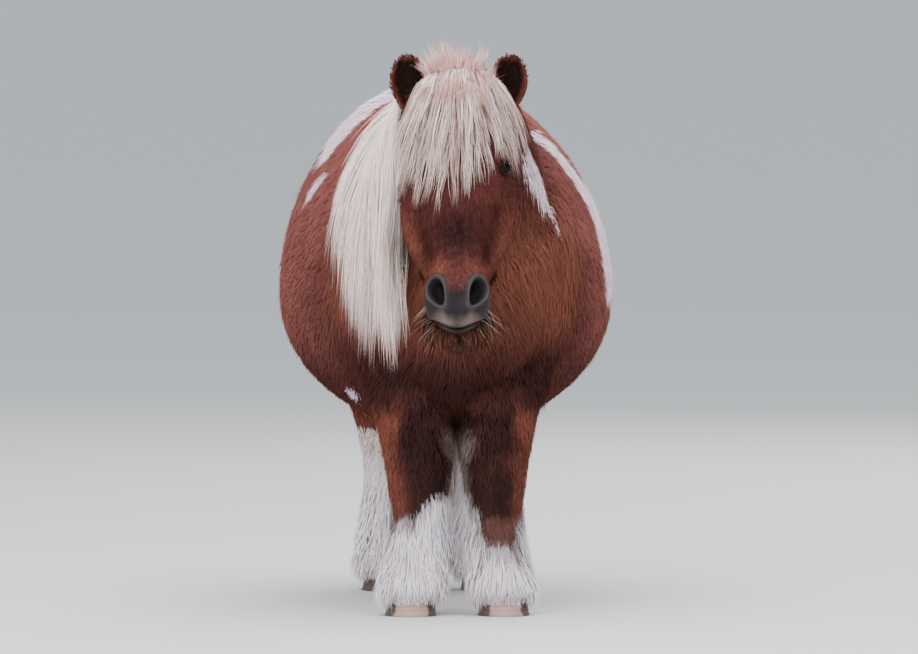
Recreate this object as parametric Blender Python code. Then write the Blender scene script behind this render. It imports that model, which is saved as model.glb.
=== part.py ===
"""A life-size model of a Shetland pony that stands square and looks straight ahead.

Metres, +Z up. The pony faces -Y and its left side is at +X. The shapes are laid out with the floor at z = 0
and the middle of the front hooves near y = 0, and the whole animal is then moved so that the origin is under
the middle of its box.
"""

import math
import random

import bmesh
import bpy
import numpy as np
from mathutils import Matrix, Vector
from mathutils.bvhtree import BVHTree

# Sizes of the whole animal
POLL = Vector((0.0, -0.295, 0.915))  # where the skull meets the neck
FACE_TILT = math.radians(25.0)  # the face leans this far forward from upright
MUZZLE_END = 0.447  # from the poll, down the face
# The head looks a little to its right: where along Y that begins, where it is full, and its slope there
LOOK_START = -0.02
LOOK_FULL = -0.20
LOOK_SLOPE = 0.068
GAP = 0.0003  # kept between nodes that touch

# Mesh fineness
BODY_VOXEL = 0.009
HEAD_VOXEL = 0.004
BODY_FACES = 2700
HEAD_FACES = 2050

# Torso: place along Y, height of the middle, half width, reach up, reach down
TORSO = (
    (-0.176, 0.600, 0.050, 0.080, 0.080),
    (-0.150, 0.600, 0.112, 0.135, 0.140),
    (-0.100, 0.600, 0.158, 0.200, 0.192),
    (-0.030, 0.590, 0.190, 0.262, 0.222),
    (0.060, 0.570, 0.222, 0.322, 0.242),
    (0.160, 0.550, 0.256, 0.338, 0.242),
    (0.300, 0.530, 0.283, 0.347, 0.235),
    (0.420, 0.535, 0.285, 0.349, 0.235),
    (0.540, 0.560, 0.266, 0.336, 0.228),
    (0.640, 0.600, 0.228, 0.290, 0.205),
    (0.720, 0.620, 0.184, 0.232, 0.200),
    (0.775, 0.620, 0.125, 0.160, 0.165),
    (0.800, 0.620, 0.055, 0.085, 0.085),
)
# Neck: middle (y, z), half width, reach to the crest, reach to the throat
NECK = (
    (0.080, 0.620, 0.165, 0.190, 0.180),
    (-0.050, 0.700, 0.156, 0.205, 0.175),
    (-0.140, 0.768, 0.132, 0.176, 0.128),
    (-0.215, 0.828, 0.108, 0.136, 0.094),
    (-0.272, 0.868, 0.086, 0.086, 0.074),
    (-0.308, 0.892, 0.045, 0.038, 0.040),
)
# Head, down the face from the poll: front line, back line, half width
HEAD = (
    (-0.022, 0.030, 0.075, 0.035),
    (-0.008, 0.012, 0.100, 0.058),
    (0.030, -0.006, 0.130, 0.078),
    (0.075, -0.014, 0.156, 0.091),
    (0.120, -0.012, 0.180, 0.098),
    (0.165, -0.004, 0.194, 0.100),
    (0.210, 0.002, 0.192, 0.096),
    (0.250, 0.006, 0.174, 0.088),
    (0.285, 0.008, 0.152, 0.075),
    (0.315, 0.008, 0.133, 0.061),
    (0.340, 0.006, 0.120, 0.0525),
    (0.362, 0.003, 0.114, 0.0525),
    (0.388, 0.002, 0.112, 0.0550),
    (0.410, 0.006, 0.109, 0.0480),
    (0.428, 0.014, 0.103, 0.0380),
    (0.441, 0.026, 0.090, 0.0275),
    (MUZZLE_END, 0.042, 0.074, 0.0150),
)
HEAD_WIDEST = 0.44  # how far back the head is widest, as a share of its depth
# Legs on the +X side, downwards: middle (x, y, z), half width, half depth
FORE_LEG = (
    (0.096, 0.050, 0.560, 0.092, 0.125),
    (0.088, 0.042, 0.450, 0.086, 0.108),
    (0.076, 0.022, 0.345, 0.067, 0.076),
    (0.068, 0.004, 0.265, 0.056, 0.058),
    (0.066, -0.004, 0.215, 0.052, 0.054),
    (0.067, 0.000, 0.165, 0.044, 0.047),
    (0.069, 0.003, 0.120, 0.041, 0.045),
    (0.073, 0.000, 0.078, 0.044, 0.050),
    (0.077, -0.010, 0.046, 0.042, 0.046),
    (0.079, -0.016, 0.012, 0.041, 0.044),
)
HIND_LEG = (
    (0.110, 0.620, 0.600, 0.105, 0.160),
    (0.122, 0.612, 0.480, 0.096, 0.142),
    (0.106, 0.650, 0.375, 0.069, 0.095),
    (0.092, 0.700, 0.300, 0.051, 0.063),
    (0.086, 0.722, 0.255, 0.046, 0.057),
    (0.083, 0.718, 0.200, 0.041, 0.047),
    (0.083, 0.710, 0.130, 0.040, 0.045),
    (0.084, 0.702, 0.080, 0.043, 0.050),
    (0.085, 0.688, 0.046, 0.042, 0.046),
    (0.086, 0.680, 0.012, 0.041, 0.044),
)
# Round masses under the coat: middle (x, y, z) and radii, on the +X side
MASSES = {
    "breast": ((0.060, -0.100, 0.560), (0.082, 0.060, 0.130)),
    "shoulder": ((0.110, 0.030, 0.600), (0.092, 0.120, 0.200)),
    "haunch": ((0.120, 0.640, 0.620), (0.104, 0.150, 0.205)),
    "buttock": ((0.076, 0.725, 0.570), (0.080, 0.078, 0.165)),
}

# Where the animal is parted: corners (y, z) of the regions of head, neck and legs
HEAD_REGION = ((-0.300, 0.380), (-0.176, 0.672), (-0.300, 1.000), (-0.340, 1.200), (-0.900, 1.200), (-0.900, 0.380))
NECK_REGION = ((-0.300, 0.440), (0.050, 0.905), (0.200, 1.200), (-0.900, 1.200), (-0.900, 0.440))
FORE_LEG_REGION = ((-0.240, -0.100), (-0.240, 0.400), (0.096, 0.400), (0.096, -0.100))
HIND_LEG_REGION = ((0.500, -0.100), (0.500, 0.190), (0.600, 0.410), (0.900, 0.410), (0.900, -0.100))
FORE_LEG_INSIDE = 0.010  # the region starts this far from the middle
HIND_LEG_INSIDE = 0.020

# Eyes, in the head's frame: across, down, back
EYE_PLACE = (0.0805, 0.145, 0.0250)
EYE_RADIUS = 0.0175
EYE_SUNK = 0.0125
LID_THICKNESS = 0.0026
LID_HALF_LENGTH = 0.0160
LID_HALF_HEIGHT = 0.0100
# Nostrils and mouth, in the head's frame
NOSTRIL_PLACE = (0.034, 0.378, 0.0127)
NOSTRIL_HALF = (0.0125, 0.0230)
NOSTRIL_DEPTH = 0.022
MOUTH_FRONT = (0.4335, 0.015)
MOUTH_CORNER = (0.394, 0.086)
MOUTH_HEIGHT = 0.0030
# Ears, from the base in the head's frame
EAR_PLACE = (0.078, 0.018, 0.050)
EAR_LENGTH = 0.122
EAR_SUNK = 0.032
EAR_HALF_WIDTH = 0.0335
EAR_DEPTH = 0.025
EAR_WALL = 0.0045
# Hooves: ground half width, toe and heel reach, height at toe and heel
HOOF_FORE = (0.079, -0.016)
HOOF_HIND = (0.086, 0.680)
HOOF_GROUND = (0.044, 0.050, 0.040)
HOOF_TOP = (0.0385, 0.036, 0.038)
HOOF_HEIGHT = (0.046, 0.026)

# Hair: how deep a lock's root is sunk, and how far its middle stays off what it lies over
ROOT_SUNK = 0.013
HAIR_CLEAR = 0.006
LAYER_STEP = 0.012  # from one layer of locks to the next
# Each kind of lock: width, thickness, rings
MANE_LOCK = (0.032, 0.0085, 6)
FORELOCK_LOCK = (0.027, 0.0080, 5)
TAIL_LOCK = (0.038, 0.0120, 5)
FEATHER_LOCK = (0.047, 0.0100, 4)
BEARD_LOCK = (0.020, 0.0080, 4)
BREAST_LOCK = (0.042, 0.0090, 4)
# Mane: roots along the crest from the poll to the withers, lengths there, falling to the right
MANE_ROOTS = (-0.225, 0.045)
MANE_LENGTHS = (0.56, 0.42)
MANE_LAYERS = 3
MANE_PER_LAYER = 8
# Forelock: roots across the poll, lengths at its right, middle and left
FORELOCK_BACK = -0.300
FORELOCK_HALF_WIDTH = 0.044
FORELOCK_LENGTHS = (0.262, 0.278, 0.235)
FORELOCK_LAYERS = (7, 6, 6)
# Tail: the dock as place along Y, height, half width, half depth
TAIL_X = -0.015
DOCK = (
    (0.740, 0.775, 0.026, 0.026),
    (0.780, 0.790, 0.034, 0.032),
    (0.815, 0.760, 0.040, 0.034),
    (0.832, 0.690, 0.042, 0.034),
    (0.840, 0.570, 0.036, 0.030),
    (0.844, 0.470, 0.018, 0.014),
)
TAIL_TIERS = ((0.740, 0.70, 6), (0.670, 0.60, 6), (0.590, 0.50, 5), (0.510, 0.40, 5))
TAIL_OVER_DOCK = (0.792, 0.030, 5, 0.66)  # place along Y, half width, how many, length
TAIL_TIP = 0.035  # the lowest that any lock of the tail reaches
# Feather: tiers of root height, length, how far the locks lean out, and how many
FEATHER_TIERS = ((0.262, 0.125, 0.02, 5), (0.195, 0.135, 0.05, 5), (0.115, 0.105, 0.12, 6))
FEATHER_TIP = 0.006
# Beard: rows of places down the face and back from it
BEARD_ROWS = ((0.425, 0.066, 0.024, 3), (0.405, 0.092, 0.028, 4))
BEARD_LENGTH = 0.060
# Long hair of the breast: rows of height, half width and how many
BREAST_ROWS = ((0.530, 0.108, 7), (0.490, 0.090, 6), (0.452, 0.062, 5))
BREAST_LENGTH = 0.090

# Colours and roughness of each finish
FINISHES = {
    "chestnut_coat": ((0.23, 0.075, 0.045), 0.75),
    "cream_hair": ((0.72, 0.62, 0.50), 0.65),
    "horn": ((0.36, 0.27, 0.23), 0.55),
    "eye": ((0.012, 0.009, 0.010), 0.08),
}


def smooth_rows(rows, count):
    """Rows of numbers read off as one smooth curve at evenly spaced places, ends included."""
    rows = np.array(rows, float)
    padded = np.vstack([2 * rows[0] - rows[1], rows, 2 * rows[-1] - rows[-2]])
    found = []
    for step in np.linspace(0, len(rows) - 1, count):
        i = min(int(step), len(rows) - 2)
        t = step - i
        a, b, c, d = padded[i : i + 4]
        bend = (2 * a - 5 * b + 4 * c - d) * t * t + (3 * b - a - 3 * c + d) * t**3
        found.append(0.5 * (2 * b + (c - a) * t + bend))
    return np.array(found)


def eased(value, power):
    """The value with its sign kept, which squares up an oval where the power is under 1."""
    return math.copysign(abs(value) ** power, value)


def ring(bm, middle, across, up, half_width, reach_up, reach_down, sides, power=1.0):
    """A closed ring of vertices, an oval that may reach further one way than the other."""
    found = []
    for k in range(sides):
        turn = 2 * math.pi * k / sides
        reach = reach_up if math.sin(turn) > 0 else reach_down
        sideways = across * half_width * eased(math.cos(turn), power)
        found.append(bm.verts.new(middle + sideways + up * reach * eased(math.sin(turn), power)))
    return found


def skin_over(bm, rings):
    """Joins neighbouring rings with faces and closes both ends."""
    for low, high in zip(rings, rings[1:]):
        count = len(low)
        for k in range(count):
            bm.faces.new((low[k], low[(k + 1) % count], high[(k + 1) % count], high[k]))
    bm.faces.new(rings[0][::-1])
    bm.faces.new(rings[-1])


def object_of(bm, name):
    """A mesh object of this shape, in the scene."""
    mesh = bpy.data.meshes.new(name)
    bm.to_mesh(mesh)
    bm.free()
    obj = bpy.data.objects.new(name, mesh)
    bpy.context.scene.collection.objects.link(obj)
    return obj


def closed_object(bm, name):
    """A mesh object with its faces pointing out."""
    bmesh.ops.recalc_face_normals(bm, faces=bm.faces)
    return object_of(bm, name)


def loft(name, sections, sides=36, power=1.0):
    """A closed tube through (middle, across, up, half width, reach up, reach down) sections."""
    bm = bmesh.new()
    skin_over(bm, [ring(bm, *section, sides, power) for section in sections])
    return closed_object(bm, name)


def ball(name, middle, radii, around=24, along=16):
    bm = bmesh.new()
    place = Matrix.Translation(middle) @ Matrix.Diagonal((*radii, 1))
    bmesh.ops.create_uvsphere(bm, u_segments=around, v_segments=along, radius=1, matrix=place)
    return closed_object(bm, name)


def applied(obj):
    """The object with its modifiers made part of its mesh."""
    bpy.context.view_layer.update()
    graph = bpy.context.evaluated_depsgraph_get()
    mesh = bpy.data.meshes.new_from_object(obj.evaluated_get(graph))
    old = obj.data
    obj.modifiers.clear()
    obj.data = mesh
    bpy.data.meshes.remove(old)
    return obj


def removed(*objects):
    for obj in objects:
        bpy.data.objects.remove(obj)


def copy_of(obj, name):
    twin = bpy.data.objects.new(name, obj.data.copy())
    bpy.context.scene.collection.objects.link(twin)
    return twin


def joined(name, pieces):
    """One object that holds the meshes of all these, which are then removed."""
    bm = bmesh.new()
    for piece in pieces:
        bm.from_mesh(piece.data)
    removed(*pieces)
    return object_of(bm, name)


def one_skin(obj, voxel, rounds):
    """One skin round overlapping solids, with the joins between them softened."""
    remesh = obj.modifiers.new("one_skin", "REMESH")
    remesh.mode = "VOXEL"
    remesh.voxel_size = voxel
    soften = obj.modifiers.new("soften", "SMOOTH")
    soften.factor = 0.5
    soften.iterations = rounds
    return applied(obj)


def thinned(obj, faces):
    """The object with about this many triangles."""
    have = sum(len(p.vertices) - 2 for p in obj.data.polygons)
    decimate = obj.modifiers.new("thin", "DECIMATE")
    decimate.ratio = min(1.0, faces / have)
    return applied(obj)


def boolean(obj, tool, operation, solver="MANIFOLD"):
    """The object joined with, cut by or kept inside the tool, which is then removed."""
    modifier = obj.modifiers.new(operation.lower(), "BOOLEAN")
    modifier.operation = operation
    modifier.solver = solver
    modifier.object = tool
    applied(obj)
    removed(tool)
    return obj


# Forms of the body


def torso_sections():
    for y, z, half_width, up, down in smooth_rows(TORSO, 44):
        yield Vector((0, y, z)), Vector((1, 0, 0)), Vector((0, 0, 1)), half_width, up, down


def neck_sections():
    rows = smooth_rows(NECK, 22)
    for k, (y, z, half_width, up, down) in enumerate(rows):
        ahead, behind = rows[min(k + 1, len(rows) - 1)], rows[max(k - 1, 0)]
        along = Vector((0, ahead[0] - behind[0], ahead[1] - behind[1])).normalized()
        crest = along.cross(Vector((1, 0, 0)))
        yield Vector((0, y, z)), Vector((1, 0, 0)), crest, half_width, up, down


FACE_DOWN = Vector((0, -math.sin(FACE_TILT), -math.cos(FACE_TILT)))
FACE_BACK = Vector((0, math.cos(FACE_TILT), -math.sin(FACE_TILT)))


def on_head(across, down, back):
    """The point at this place in the head's own frame."""
    return POLL + Vector((across, 0, 0)) + FACE_DOWN * down + FACE_BACK * back


def head_sections():
    for down, front, back, half_width in smooth_rows(HEAD, 46):
        middle = front + (back - front) * HEAD_WIDEST
        yield on_head(0, down, middle), Vector((1, 0, 0)), FACE_BACK, half_width, back - middle, middle - front


def leg_sections(rows, side):
    for x, y, z, half_width, half_depth in smooth_rows(rows, 34):
        yield Vector((side * x, y, z)), Vector((1, 0, 0)), Vector((0, 1, 0)), half_width, half_depth, half_depth


def trunk_form():
    """Torso, neck and head as one soft skin, with no legs."""
    pieces = [
        loft("torso_form", torso_sections(), 56),
        loft("neck_form", neck_sections(), 44),
        loft("skull_form", head_sections(), 44, 0.92),
    ]
    for side in (-1, 1):
        for name, ((x, y, z), radii) in MASSES.items():
            pieces.append(ball(name + "_form", Vector((side * x, y, z)), radii))
    return one_skin(joined("trunk_form", pieces), BODY_VOXEL, 14)


def body_form():
    """The whole animal apart from ears, eyes, hooves and hair."""
    pieces = [trunk_form()]
    for side in (-1, 1):
        pieces.append(loft("fore_form", leg_sections(FORE_LEG, side), 32, 0.92))
        pieces.append(loft("hind_form", leg_sections(HIND_LEG, side), 32, 0.92))
    return one_skin(joined("body_form", pieces), BODY_VOXEL, 5)


# The head's fine forms


def bump(distance, width):
    """1 at no distance, falling off smoothly over the width."""
    return np.exp(-((distance / width) ** 2))


def eye_frame(side):
    """The eye's place on the skin, with its outward, lengthwise and upward directions."""
    across, down, back = EYE_PLACE
    place = on_head(side * across, down, back)
    out = (Vector((side * 0.79, 0, 0)) - FACE_BACK * 0.61).normalized()
    along = (FACE_BACK * 0.84 + Vector((side * 0.5, 0, 0)) + FACE_DOWN * -0.20).normalized()
    up = out.cross(along).normalized()
    if up.z < 0:
        up = -up
    along = (along - out * along.dot(out)).normalized()
    return place, out, along, up


def nostril_frame(side):
    across, down, back = NOSTRIL_PLACE
    place = on_head(side * across, down, back)
    out = (Vector((side * 0.52, 0, 0)) - FACE_BACK * 0.85).normalized()
    long = (FACE_DOWN + Vector((-side * 0.24, 0, 0))).normalized()
    wide = out.cross(long).normalized()
    long = wide.cross(out).normalized()
    return place, out, wide, long


def line_distance(points, start, end):
    """How far each (down, back) point is from the line between two places."""
    start, end = np.array(start), np.array(end)
    along = end - start
    t = np.clip((points - start) @ along / (along @ along), 0, 1)
    return np.linalg.norm(points - start - t[:, None] * along, axis=1)


def shape_head(obj):
    """Brow, lids, face bones, nostrils, lips and chin, pressed into and raised from the plain head."""
    mesh = obj.data
    count = len(mesh.vertices)
    points, normals = np.empty(count * 3), np.empty(count * 3)
    mesh.vertices.foreach_get("co", points)
    mesh.vertices.foreach_get("normal", normals)
    points, normals = points.reshape(-1, 3), normals.reshape(-1, 3)
    away = points - np.array(POLL)
    across = np.abs(away[:, 0])
    place = np.column_stack([away @ np.array(FACE_DOWN), away @ np.array(FACE_BACK)])
    raise_by = 0.0050 * bump(line_distance(place, (0.165, 0.066), (0.290, 0.052)), 0.010) * (across > 0.035)
    raise_by -= 0.0050 * bump(line_distance(place, (0.225, 0.026), (0.320, 0.030)), 0.012) * (across > 0.020)
    raise_by += 0.0060 * bump(line_distance(place, (0.408, 0.104), (0.420, 0.096)), 0.014) * bump(across, 0.03)
    raise_by -= 0.0050 * bump(line_distance(place, (0.368, 0.118), (0.376, 0.116)), 0.012) * bump(across, 0.04)
    raise_by -= 0.0040 * bump(across, 0.010) * bump(line_distance(place, (0.395, 0.0), (0.425, 0.01)), 0.012)
    slit_along = np.array(MOUTH_CORNER) - np.array(MOUTH_FRONT)
    slit_out = np.array((slit_along[1], -slit_along[0])) / np.linalg.norm(slit_along)
    from_slit = (place - np.array(MOUTH_FRONT)) @ slit_out
    lips = (place[:, 1] < MOUTH_CORNER[1]) & (place[:, 0] > 0.37)
    raise_by += 0.0022 * bump(np.abs(from_slit) - 0.0075, 0.0045) * lips
    moved = points + normals * raise_by[:, None]
    for side in (-1, 1):
        middle, out, along, up = (np.array(v) for v in eye_frame(side))
        ball_middle = middle - out * EYE_SUNK
        reach = moved - middle
        du, dv, depth = reach @ along, reach @ up, reach @ out
        near = np.abs(depth) < 0.03
        lift = 0.0070 * bump(np.sqrt((du / 1.6) ** 2 + (dv - 0.026) ** 2), 0.012)
        lift -= 0.0030 * bump(np.sqrt((du / 1.5) ** 2 + (dv - 0.046) ** 2), 0.012)
        lift -= 0.0030 * bump(np.hypot(du / 1.4, dv + 0.026), 0.008)
        moved += (lift * near)[:, None] * out
        from_ball = moved - ball_middle
        distance = np.linalg.norm(from_ball, axis=1)
        ahead = from_ball @ out
        lid = EYE_RADIUS + LID_THICKNESS
        wanted = np.where((ahead > 0) & (distance < lid), lid, distance)
        sideways = np.linalg.norm(from_ball - ahead[:, None] * out, axis=1)
        over = (ahead > 0) & (sideways < EYE_RADIUS) & (distance > lid)
        wanted = np.where(over, lid + (distance - lid) * 0.3, wanted)
        moved = ball_middle + from_ball * (wanted / distance)[:, None]
        middle, out, wide, long = (np.array(v) for v in nostril_frame(side))
        reach = moved - middle
        du, dv, depth = reach @ wide, reach @ long, reach @ out
        near = np.abs(depth) < 0.03
        swell = 1 - 0.25 * np.clip(dv / NOSTRIL_HALF[1], -1, 1)
        r = np.sqrt((du / NOSTRIL_HALF[0] / swell) ** 2 + (dv / NOSTRIL_HALF[1]) ** 2)
        lift = 0.0048 * bump(r - 1.28, 0.26) - NOSTRIL_DEPTH * np.clip(1 - r * r, 0, 1) ** 0.7
        moved += (lift * near)[:, None] * out
    mesh.vertices.foreach_set("co", moved.ravel())
    mesh.update()
    return obj


def lid_opening(side):
    """An almond-shaped plug that opens the lids in front of the eyeball."""
    place, out, along, up = eye_frame(side)
    middle = place - out * EYE_SUNK
    bm = bmesh.new()
    rings = []
    for depth in (0.004, 0.040):
        verts = []
        for k in range(20):
            turn = 2 * math.pi * k / 20
            height = eased(math.sin(turn), 1.25) * LID_HALF_HEIGHT
            spot = middle + out * depth + along * LID_HALF_LENGTH * math.cos(turn) + up * height
            verts.append(bm.verts.new(spot))
        rings.append(verts)
    skin_over(bm, rings)
    return closed_object(bm, "lid_opening")


def mouth_slit():
    """A thin wedge that parts the lips from the front to the corners of the mouth."""
    front, corner = np.array(MOUTH_FRONT), np.array(MOUTH_CORNER)
    along = (corner - front) / np.linalg.norm(corner - front)
    out = np.array((along[1], -along[0]))
    start = front - along * 0.03
    outline = (
        start + out * MOUTH_HEIGHT / 2,
        corner + out * MOUTH_HEIGHT / 4,
        corner - out * MOUTH_HEIGHT / 4,
        start - out * MOUTH_HEIGHT / 2,
    )
    bm = bmesh.new()
    rings = [[bm.verts.new(on_head(x, *corner_place)) for corner_place in outline] for x in (-0.1, 0.1)]
    skin_over(bm, rings)
    return closed_object(bm, "mouth_slit")


# Parting the body


def grown_outline(corners, distance):
    """The convex outline with each edge moved outwards by the distance."""
    points = [Vector(corner) for corner in corners]
    middle = sum(points, Vector((0, 0))) / len(points)
    found = []
    for k, point in enumerate(points):
        before, after = points[k - 1], points[(k + 1) % len(points)]
        outs = []
        for start, end in ((before, point), (point, after)):
            edge = (end - start).normalized()
            out = Vector((edge.y, -edge.x))
            outs.append(out if out.dot(start - middle) > 0 else -out)
        found.append(point + (outs[0] + outs[1]) * distance / (1 + outs[0].dot(outs[1])))
    return found


def region(corners, grow=0.0, inside=None, side=1):
    """A prism over an outline in Y and Z, across the whole animal or on one side of it."""
    near, far = (-0.6, 0.6) if inside is None else (side * (inside - grow), side * 0.6)
    bm = bmesh.new()
    outline = grown_outline(corners, grow)
    skin_over(bm, [[bm.verts.new((x, y, z)) for y, z in outline] for x in (near, far)])
    return closed_object(bm, "region")


def parted(body, name, tool, wider_tool):
    """The piece of the body inside the tool, which leaves the body with a thin gap round it."""
    piece = boolean(copy_of(body, name), tool, "INTERSECT")
    boolean(body, wider_tool, "DIFFERENCE")
    return piece


def largest_only(obj):
    """Drops every closed surface of the object but the largest."""
    bm = bmesh.new()
    bm.from_mesh(obj.data)
    left, islands = set(bm.faces), []
    while left:
        island, queue = set(), [left.pop()]
        while queue:
            face = queue.pop()
            island.add(face)
            for edge in face.edges:
                for other in edge.link_faces:
                    if other in left:
                        left.remove(other)
                        queue.append(other)
        islands.append(island)
    islands.sort(key=lambda faces: sum(face.calc_area() for face in faces))
    for island in islands[:-1]:
        bmesh.ops.delete(bm, geom=list(island), context="FACES")
    bmesh.ops.triangulate(bm, faces=bm.faces)
    bm.to_mesh(obj.data)
    bm.free()
    return obj


def grown(obj, distance):
    """A copy of the object with its surface moved outwards."""
    twin = copy_of(obj, obj.name + "_grown")
    mesh = twin.data
    moved = [vert.co + vert.normal * distance for vert in mesh.vertices]
    for vert, place in zip(mesh.vertices, moved):
        vert.co = place
    return twin


def cut_clear(obj, *others, gap=GAP * 1.5):
    """Cuts the object back so that it keeps a thin gap to each of the others."""
    for other in others:
        boolean(obj, grown(other, gap), "DIFFERENCE")
    return obj


def fused(obj, pieces):
    """The object with all these pieces joined to it in one union."""
    tools = bpy.data.collections.new("pieces_of_" + obj.name)
    bpy.context.scene.collection.children.link(tools)
    for piece in pieces:
        for owner in piece.users_collection:
            owner.objects.unlink(piece)
        tools.objects.link(piece)
    union = obj.modifiers.new("fused", "BOOLEAN")
    union.operation = "UNION"
    union.solver = "MANIFOLD"
    union.operand_type = "COLLECTION"
    union.collection = tools
    applied(obj)
    removed(*pieces)
    bpy.data.collections.remove(tools)
    return obj


# Hair


def surface_of(*objects):
    """A tree of the surfaces of these objects, to find what lies near a point."""
    bm = bmesh.new()
    for obj in objects:
        bm.from_mesh(obj.data)
    bm.normal_update()
    tree = BVHTree.FromBMesh(bm)
    bm.free()
    return tree


def kept_off(point, surface, clear):
    """The point, moved out of the surface until it is clear of it."""
    for _ in range(3):
        spot, normal, _, _ = surface.find_nearest(point)
        height = (point - spot).dot(normal)
        if height >= clear and (point - spot).length >= clear:
            return point
        point = point + normal * (clear - height)
    return point


def fallen_path(start, heading, length, steps, surface, clear, fall, hug, reach=0.045):
    """Points from the start that turn with the fall, lie over the surface and hang free where it ends."""
    step = length / steps
    points = [start.copy()]
    for _ in range(steps):
        heading = (heading + fall).normalized()
        point = points[-1] + heading * step
        spot, normal, _, _ = surface.find_nearest(point)
        height = (point - spot).dot(normal)
        if clear < height < reach and normal.z > -0.1:
            point -= normal * (height - clear) * hug
        point = kept_off(point, surface, clear)
        heading = (point - points[-1]).normalized()
        points.append(points[-1] + heading * step)
    return points


def rooted_path(spot, normal, heading, length, rings, surface, clear, fall, hug, sunk=ROOT_SUNK):
    """A lock's path from under the skin, out through it and along the lie of the hair."""
    fine = 3
    first = spot + normal * min(clear, 0.008) + heading * 0.004
    path = fallen_path(first, heading, length, (rings - 1) * fine, surface, clear, fall, hug)
    return [spot - normal * sunk] + path[fine::fine]


def lock(path, surface, width, thickness):
    """A flat lock along the path, with a ridge on its outer side, widest high up and tapered to a point."""
    bm = bmesh.new()
    rings = []
    count = len(path) - 1
    out = None
    for j, point in enumerate(path[:-1]):
        share = j / count
        along = (path[j + 1] - path[max(j - 1, 0)]).normalized()
        spot, normal, _, _ = surface.find_nearest(point)
        near = normal if j == 0 else (point - spot).normalized()
        out = near if out is None else out * 0.6 + near * 0.4
        out = (out - along * out.dot(along)).normalized()
        across = along.cross(out)
        swell = 0.62 + 0.38 * math.sin(math.pi * min(0.5, share)) - 0.85 * max(0.0, share - 0.55)
        half_width, half_thickness = 0.5 * width * swell, 0.5 * thickness * (1 - 0.45 * share)
        offsets = ((half_width, -half_thickness), (0, half_thickness), (-half_width, -half_thickness))
        rings.append([bm.verts.new(point + across * u + out * v) for u, v in offsets])
    for low, high in zip(rings, rings[1:]):
        for k in range(3):
            bm.faces.new((low[k], low[(k + 1) % 3], high[(k + 1) % 3], high[k]))
    bm.faces.new(rings[0][::-1])
    tip = bm.verts.new(path[-1])
    for k in range(3):
        bm.faces.new((rings[-1][k], rings[-1][(k + 1) % 3], tip))
    bmesh.ops.triangulate(bm, faces=bm.faces)
    return closed_object(bm, "lock")


def made_lock(kind, spot, normal, heading, length, surface, clear, fall, hug, lots, sunk=ROOT_SUNK):
    """One lock of this kind, a little different from its neighbours."""
    width, thickness, rings = kind
    heading = heading + Vector((lots.uniform(-0.06, 0.06), lots.uniform(-0.06, 0.06), 0))
    length *= lots.uniform(0.93, 1.05)
    path = rooted_path(spot, normal, heading, length, rings, surface, clear, fall, hug, sunk)
    return lock(path, surface, width * lots.uniform(0.9, 1.1), thickness)


def dropped_on(surface, x, y):
    """The highest place of the surface over this spot, with its normal."""
    spot, normal, _, _ = surface.ray_cast(Vector((x, y, 1.5)), Vector((0, 0, -1)))
    return spot, normal


def mane_locks(surface):
    """Locks from the crest that lie over the right side of the neck in layers."""
    lots = random.Random(31)
    fall = Vector((0, 0, -0.42))
    found = []
    for layer in range(MANE_LAYERS):
        for k in range(MANE_PER_LAYER):
            share = (k + layer / MANE_LAYERS) / (MANE_PER_LAYER - 1 / MANE_LAYERS)
            y = MANE_ROOTS[0] + (MANE_ROOTS[1] - MANE_ROOTS[0]) * share
            spot, normal = dropped_on(surface, -0.012 + 0.010 * layer, y)
            length = MANE_LENGTHS[0] + (MANE_LENGTHS[1] - MANE_LENGTHS[0]) * share
            length *= lots.uniform(0.92, 1.0) if layer else 1.0
            heading = Vector((-0.90, -0.06, 0.12 + 0.08 * layer)).normalized()
            clear = HAIR_CLEAR + LAYER_STEP * layer
            found.append(made_lock(MANE_LOCK, spot, normal, heading, length, surface, clear, fall, 0.7, lots))
    return found


def forelock_locks(surface):
    """Locks from the poll that fan out over the forehead in layers."""
    lots = random.Random(12)
    found = []
    for layer, count in enumerate(FORELOCK_LAYERS):
        for k in range(count):
            share = ((k + 0.5 * (layer % 2)) / (count - 0.5)) * 2 - 1
            x = share * FORELOCK_HALF_WIDTH
            spot, normal = dropped_on(surface, x, FORELOCK_BACK + 0.010 * layer - 0.012 * share * share)
            length = np.interp(share, (-1, 0, 1), FORELOCK_LENGTHS) * lots.uniform(0.88, 1.04)
            heading = Vector((share * 0.45, -0.60, 0.30)).normalized()
            fall = Vector((share * 0.36, 0, -1)) * 0.34
            clear = HAIR_CLEAR + LAYER_STEP * layer
            found.append(made_lock(FORELOCK_LOCK, spot, normal, heading, length, surface, clear, fall, 0.8, lots))
    return found


def dock_form():
    sections = []
    rows = smooth_rows(DOCK, 14)
    for k, (y, z, half_width, half_depth) in enumerate(rows):
        ahead, behind = rows[min(k + 1, len(rows) - 1)], rows[max(k - 1, 0)]
        along = Vector((0, ahead[0] - behind[0], ahead[1] - behind[1])).normalized()
        out = Vector((1, 0, 0)).cross(along)
        sections.append((Vector((TAIL_X, y, z)), Vector((1, 0, 0)), out, half_width, half_depth, half_depth))
    return loft("tail", sections, 12)


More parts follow.
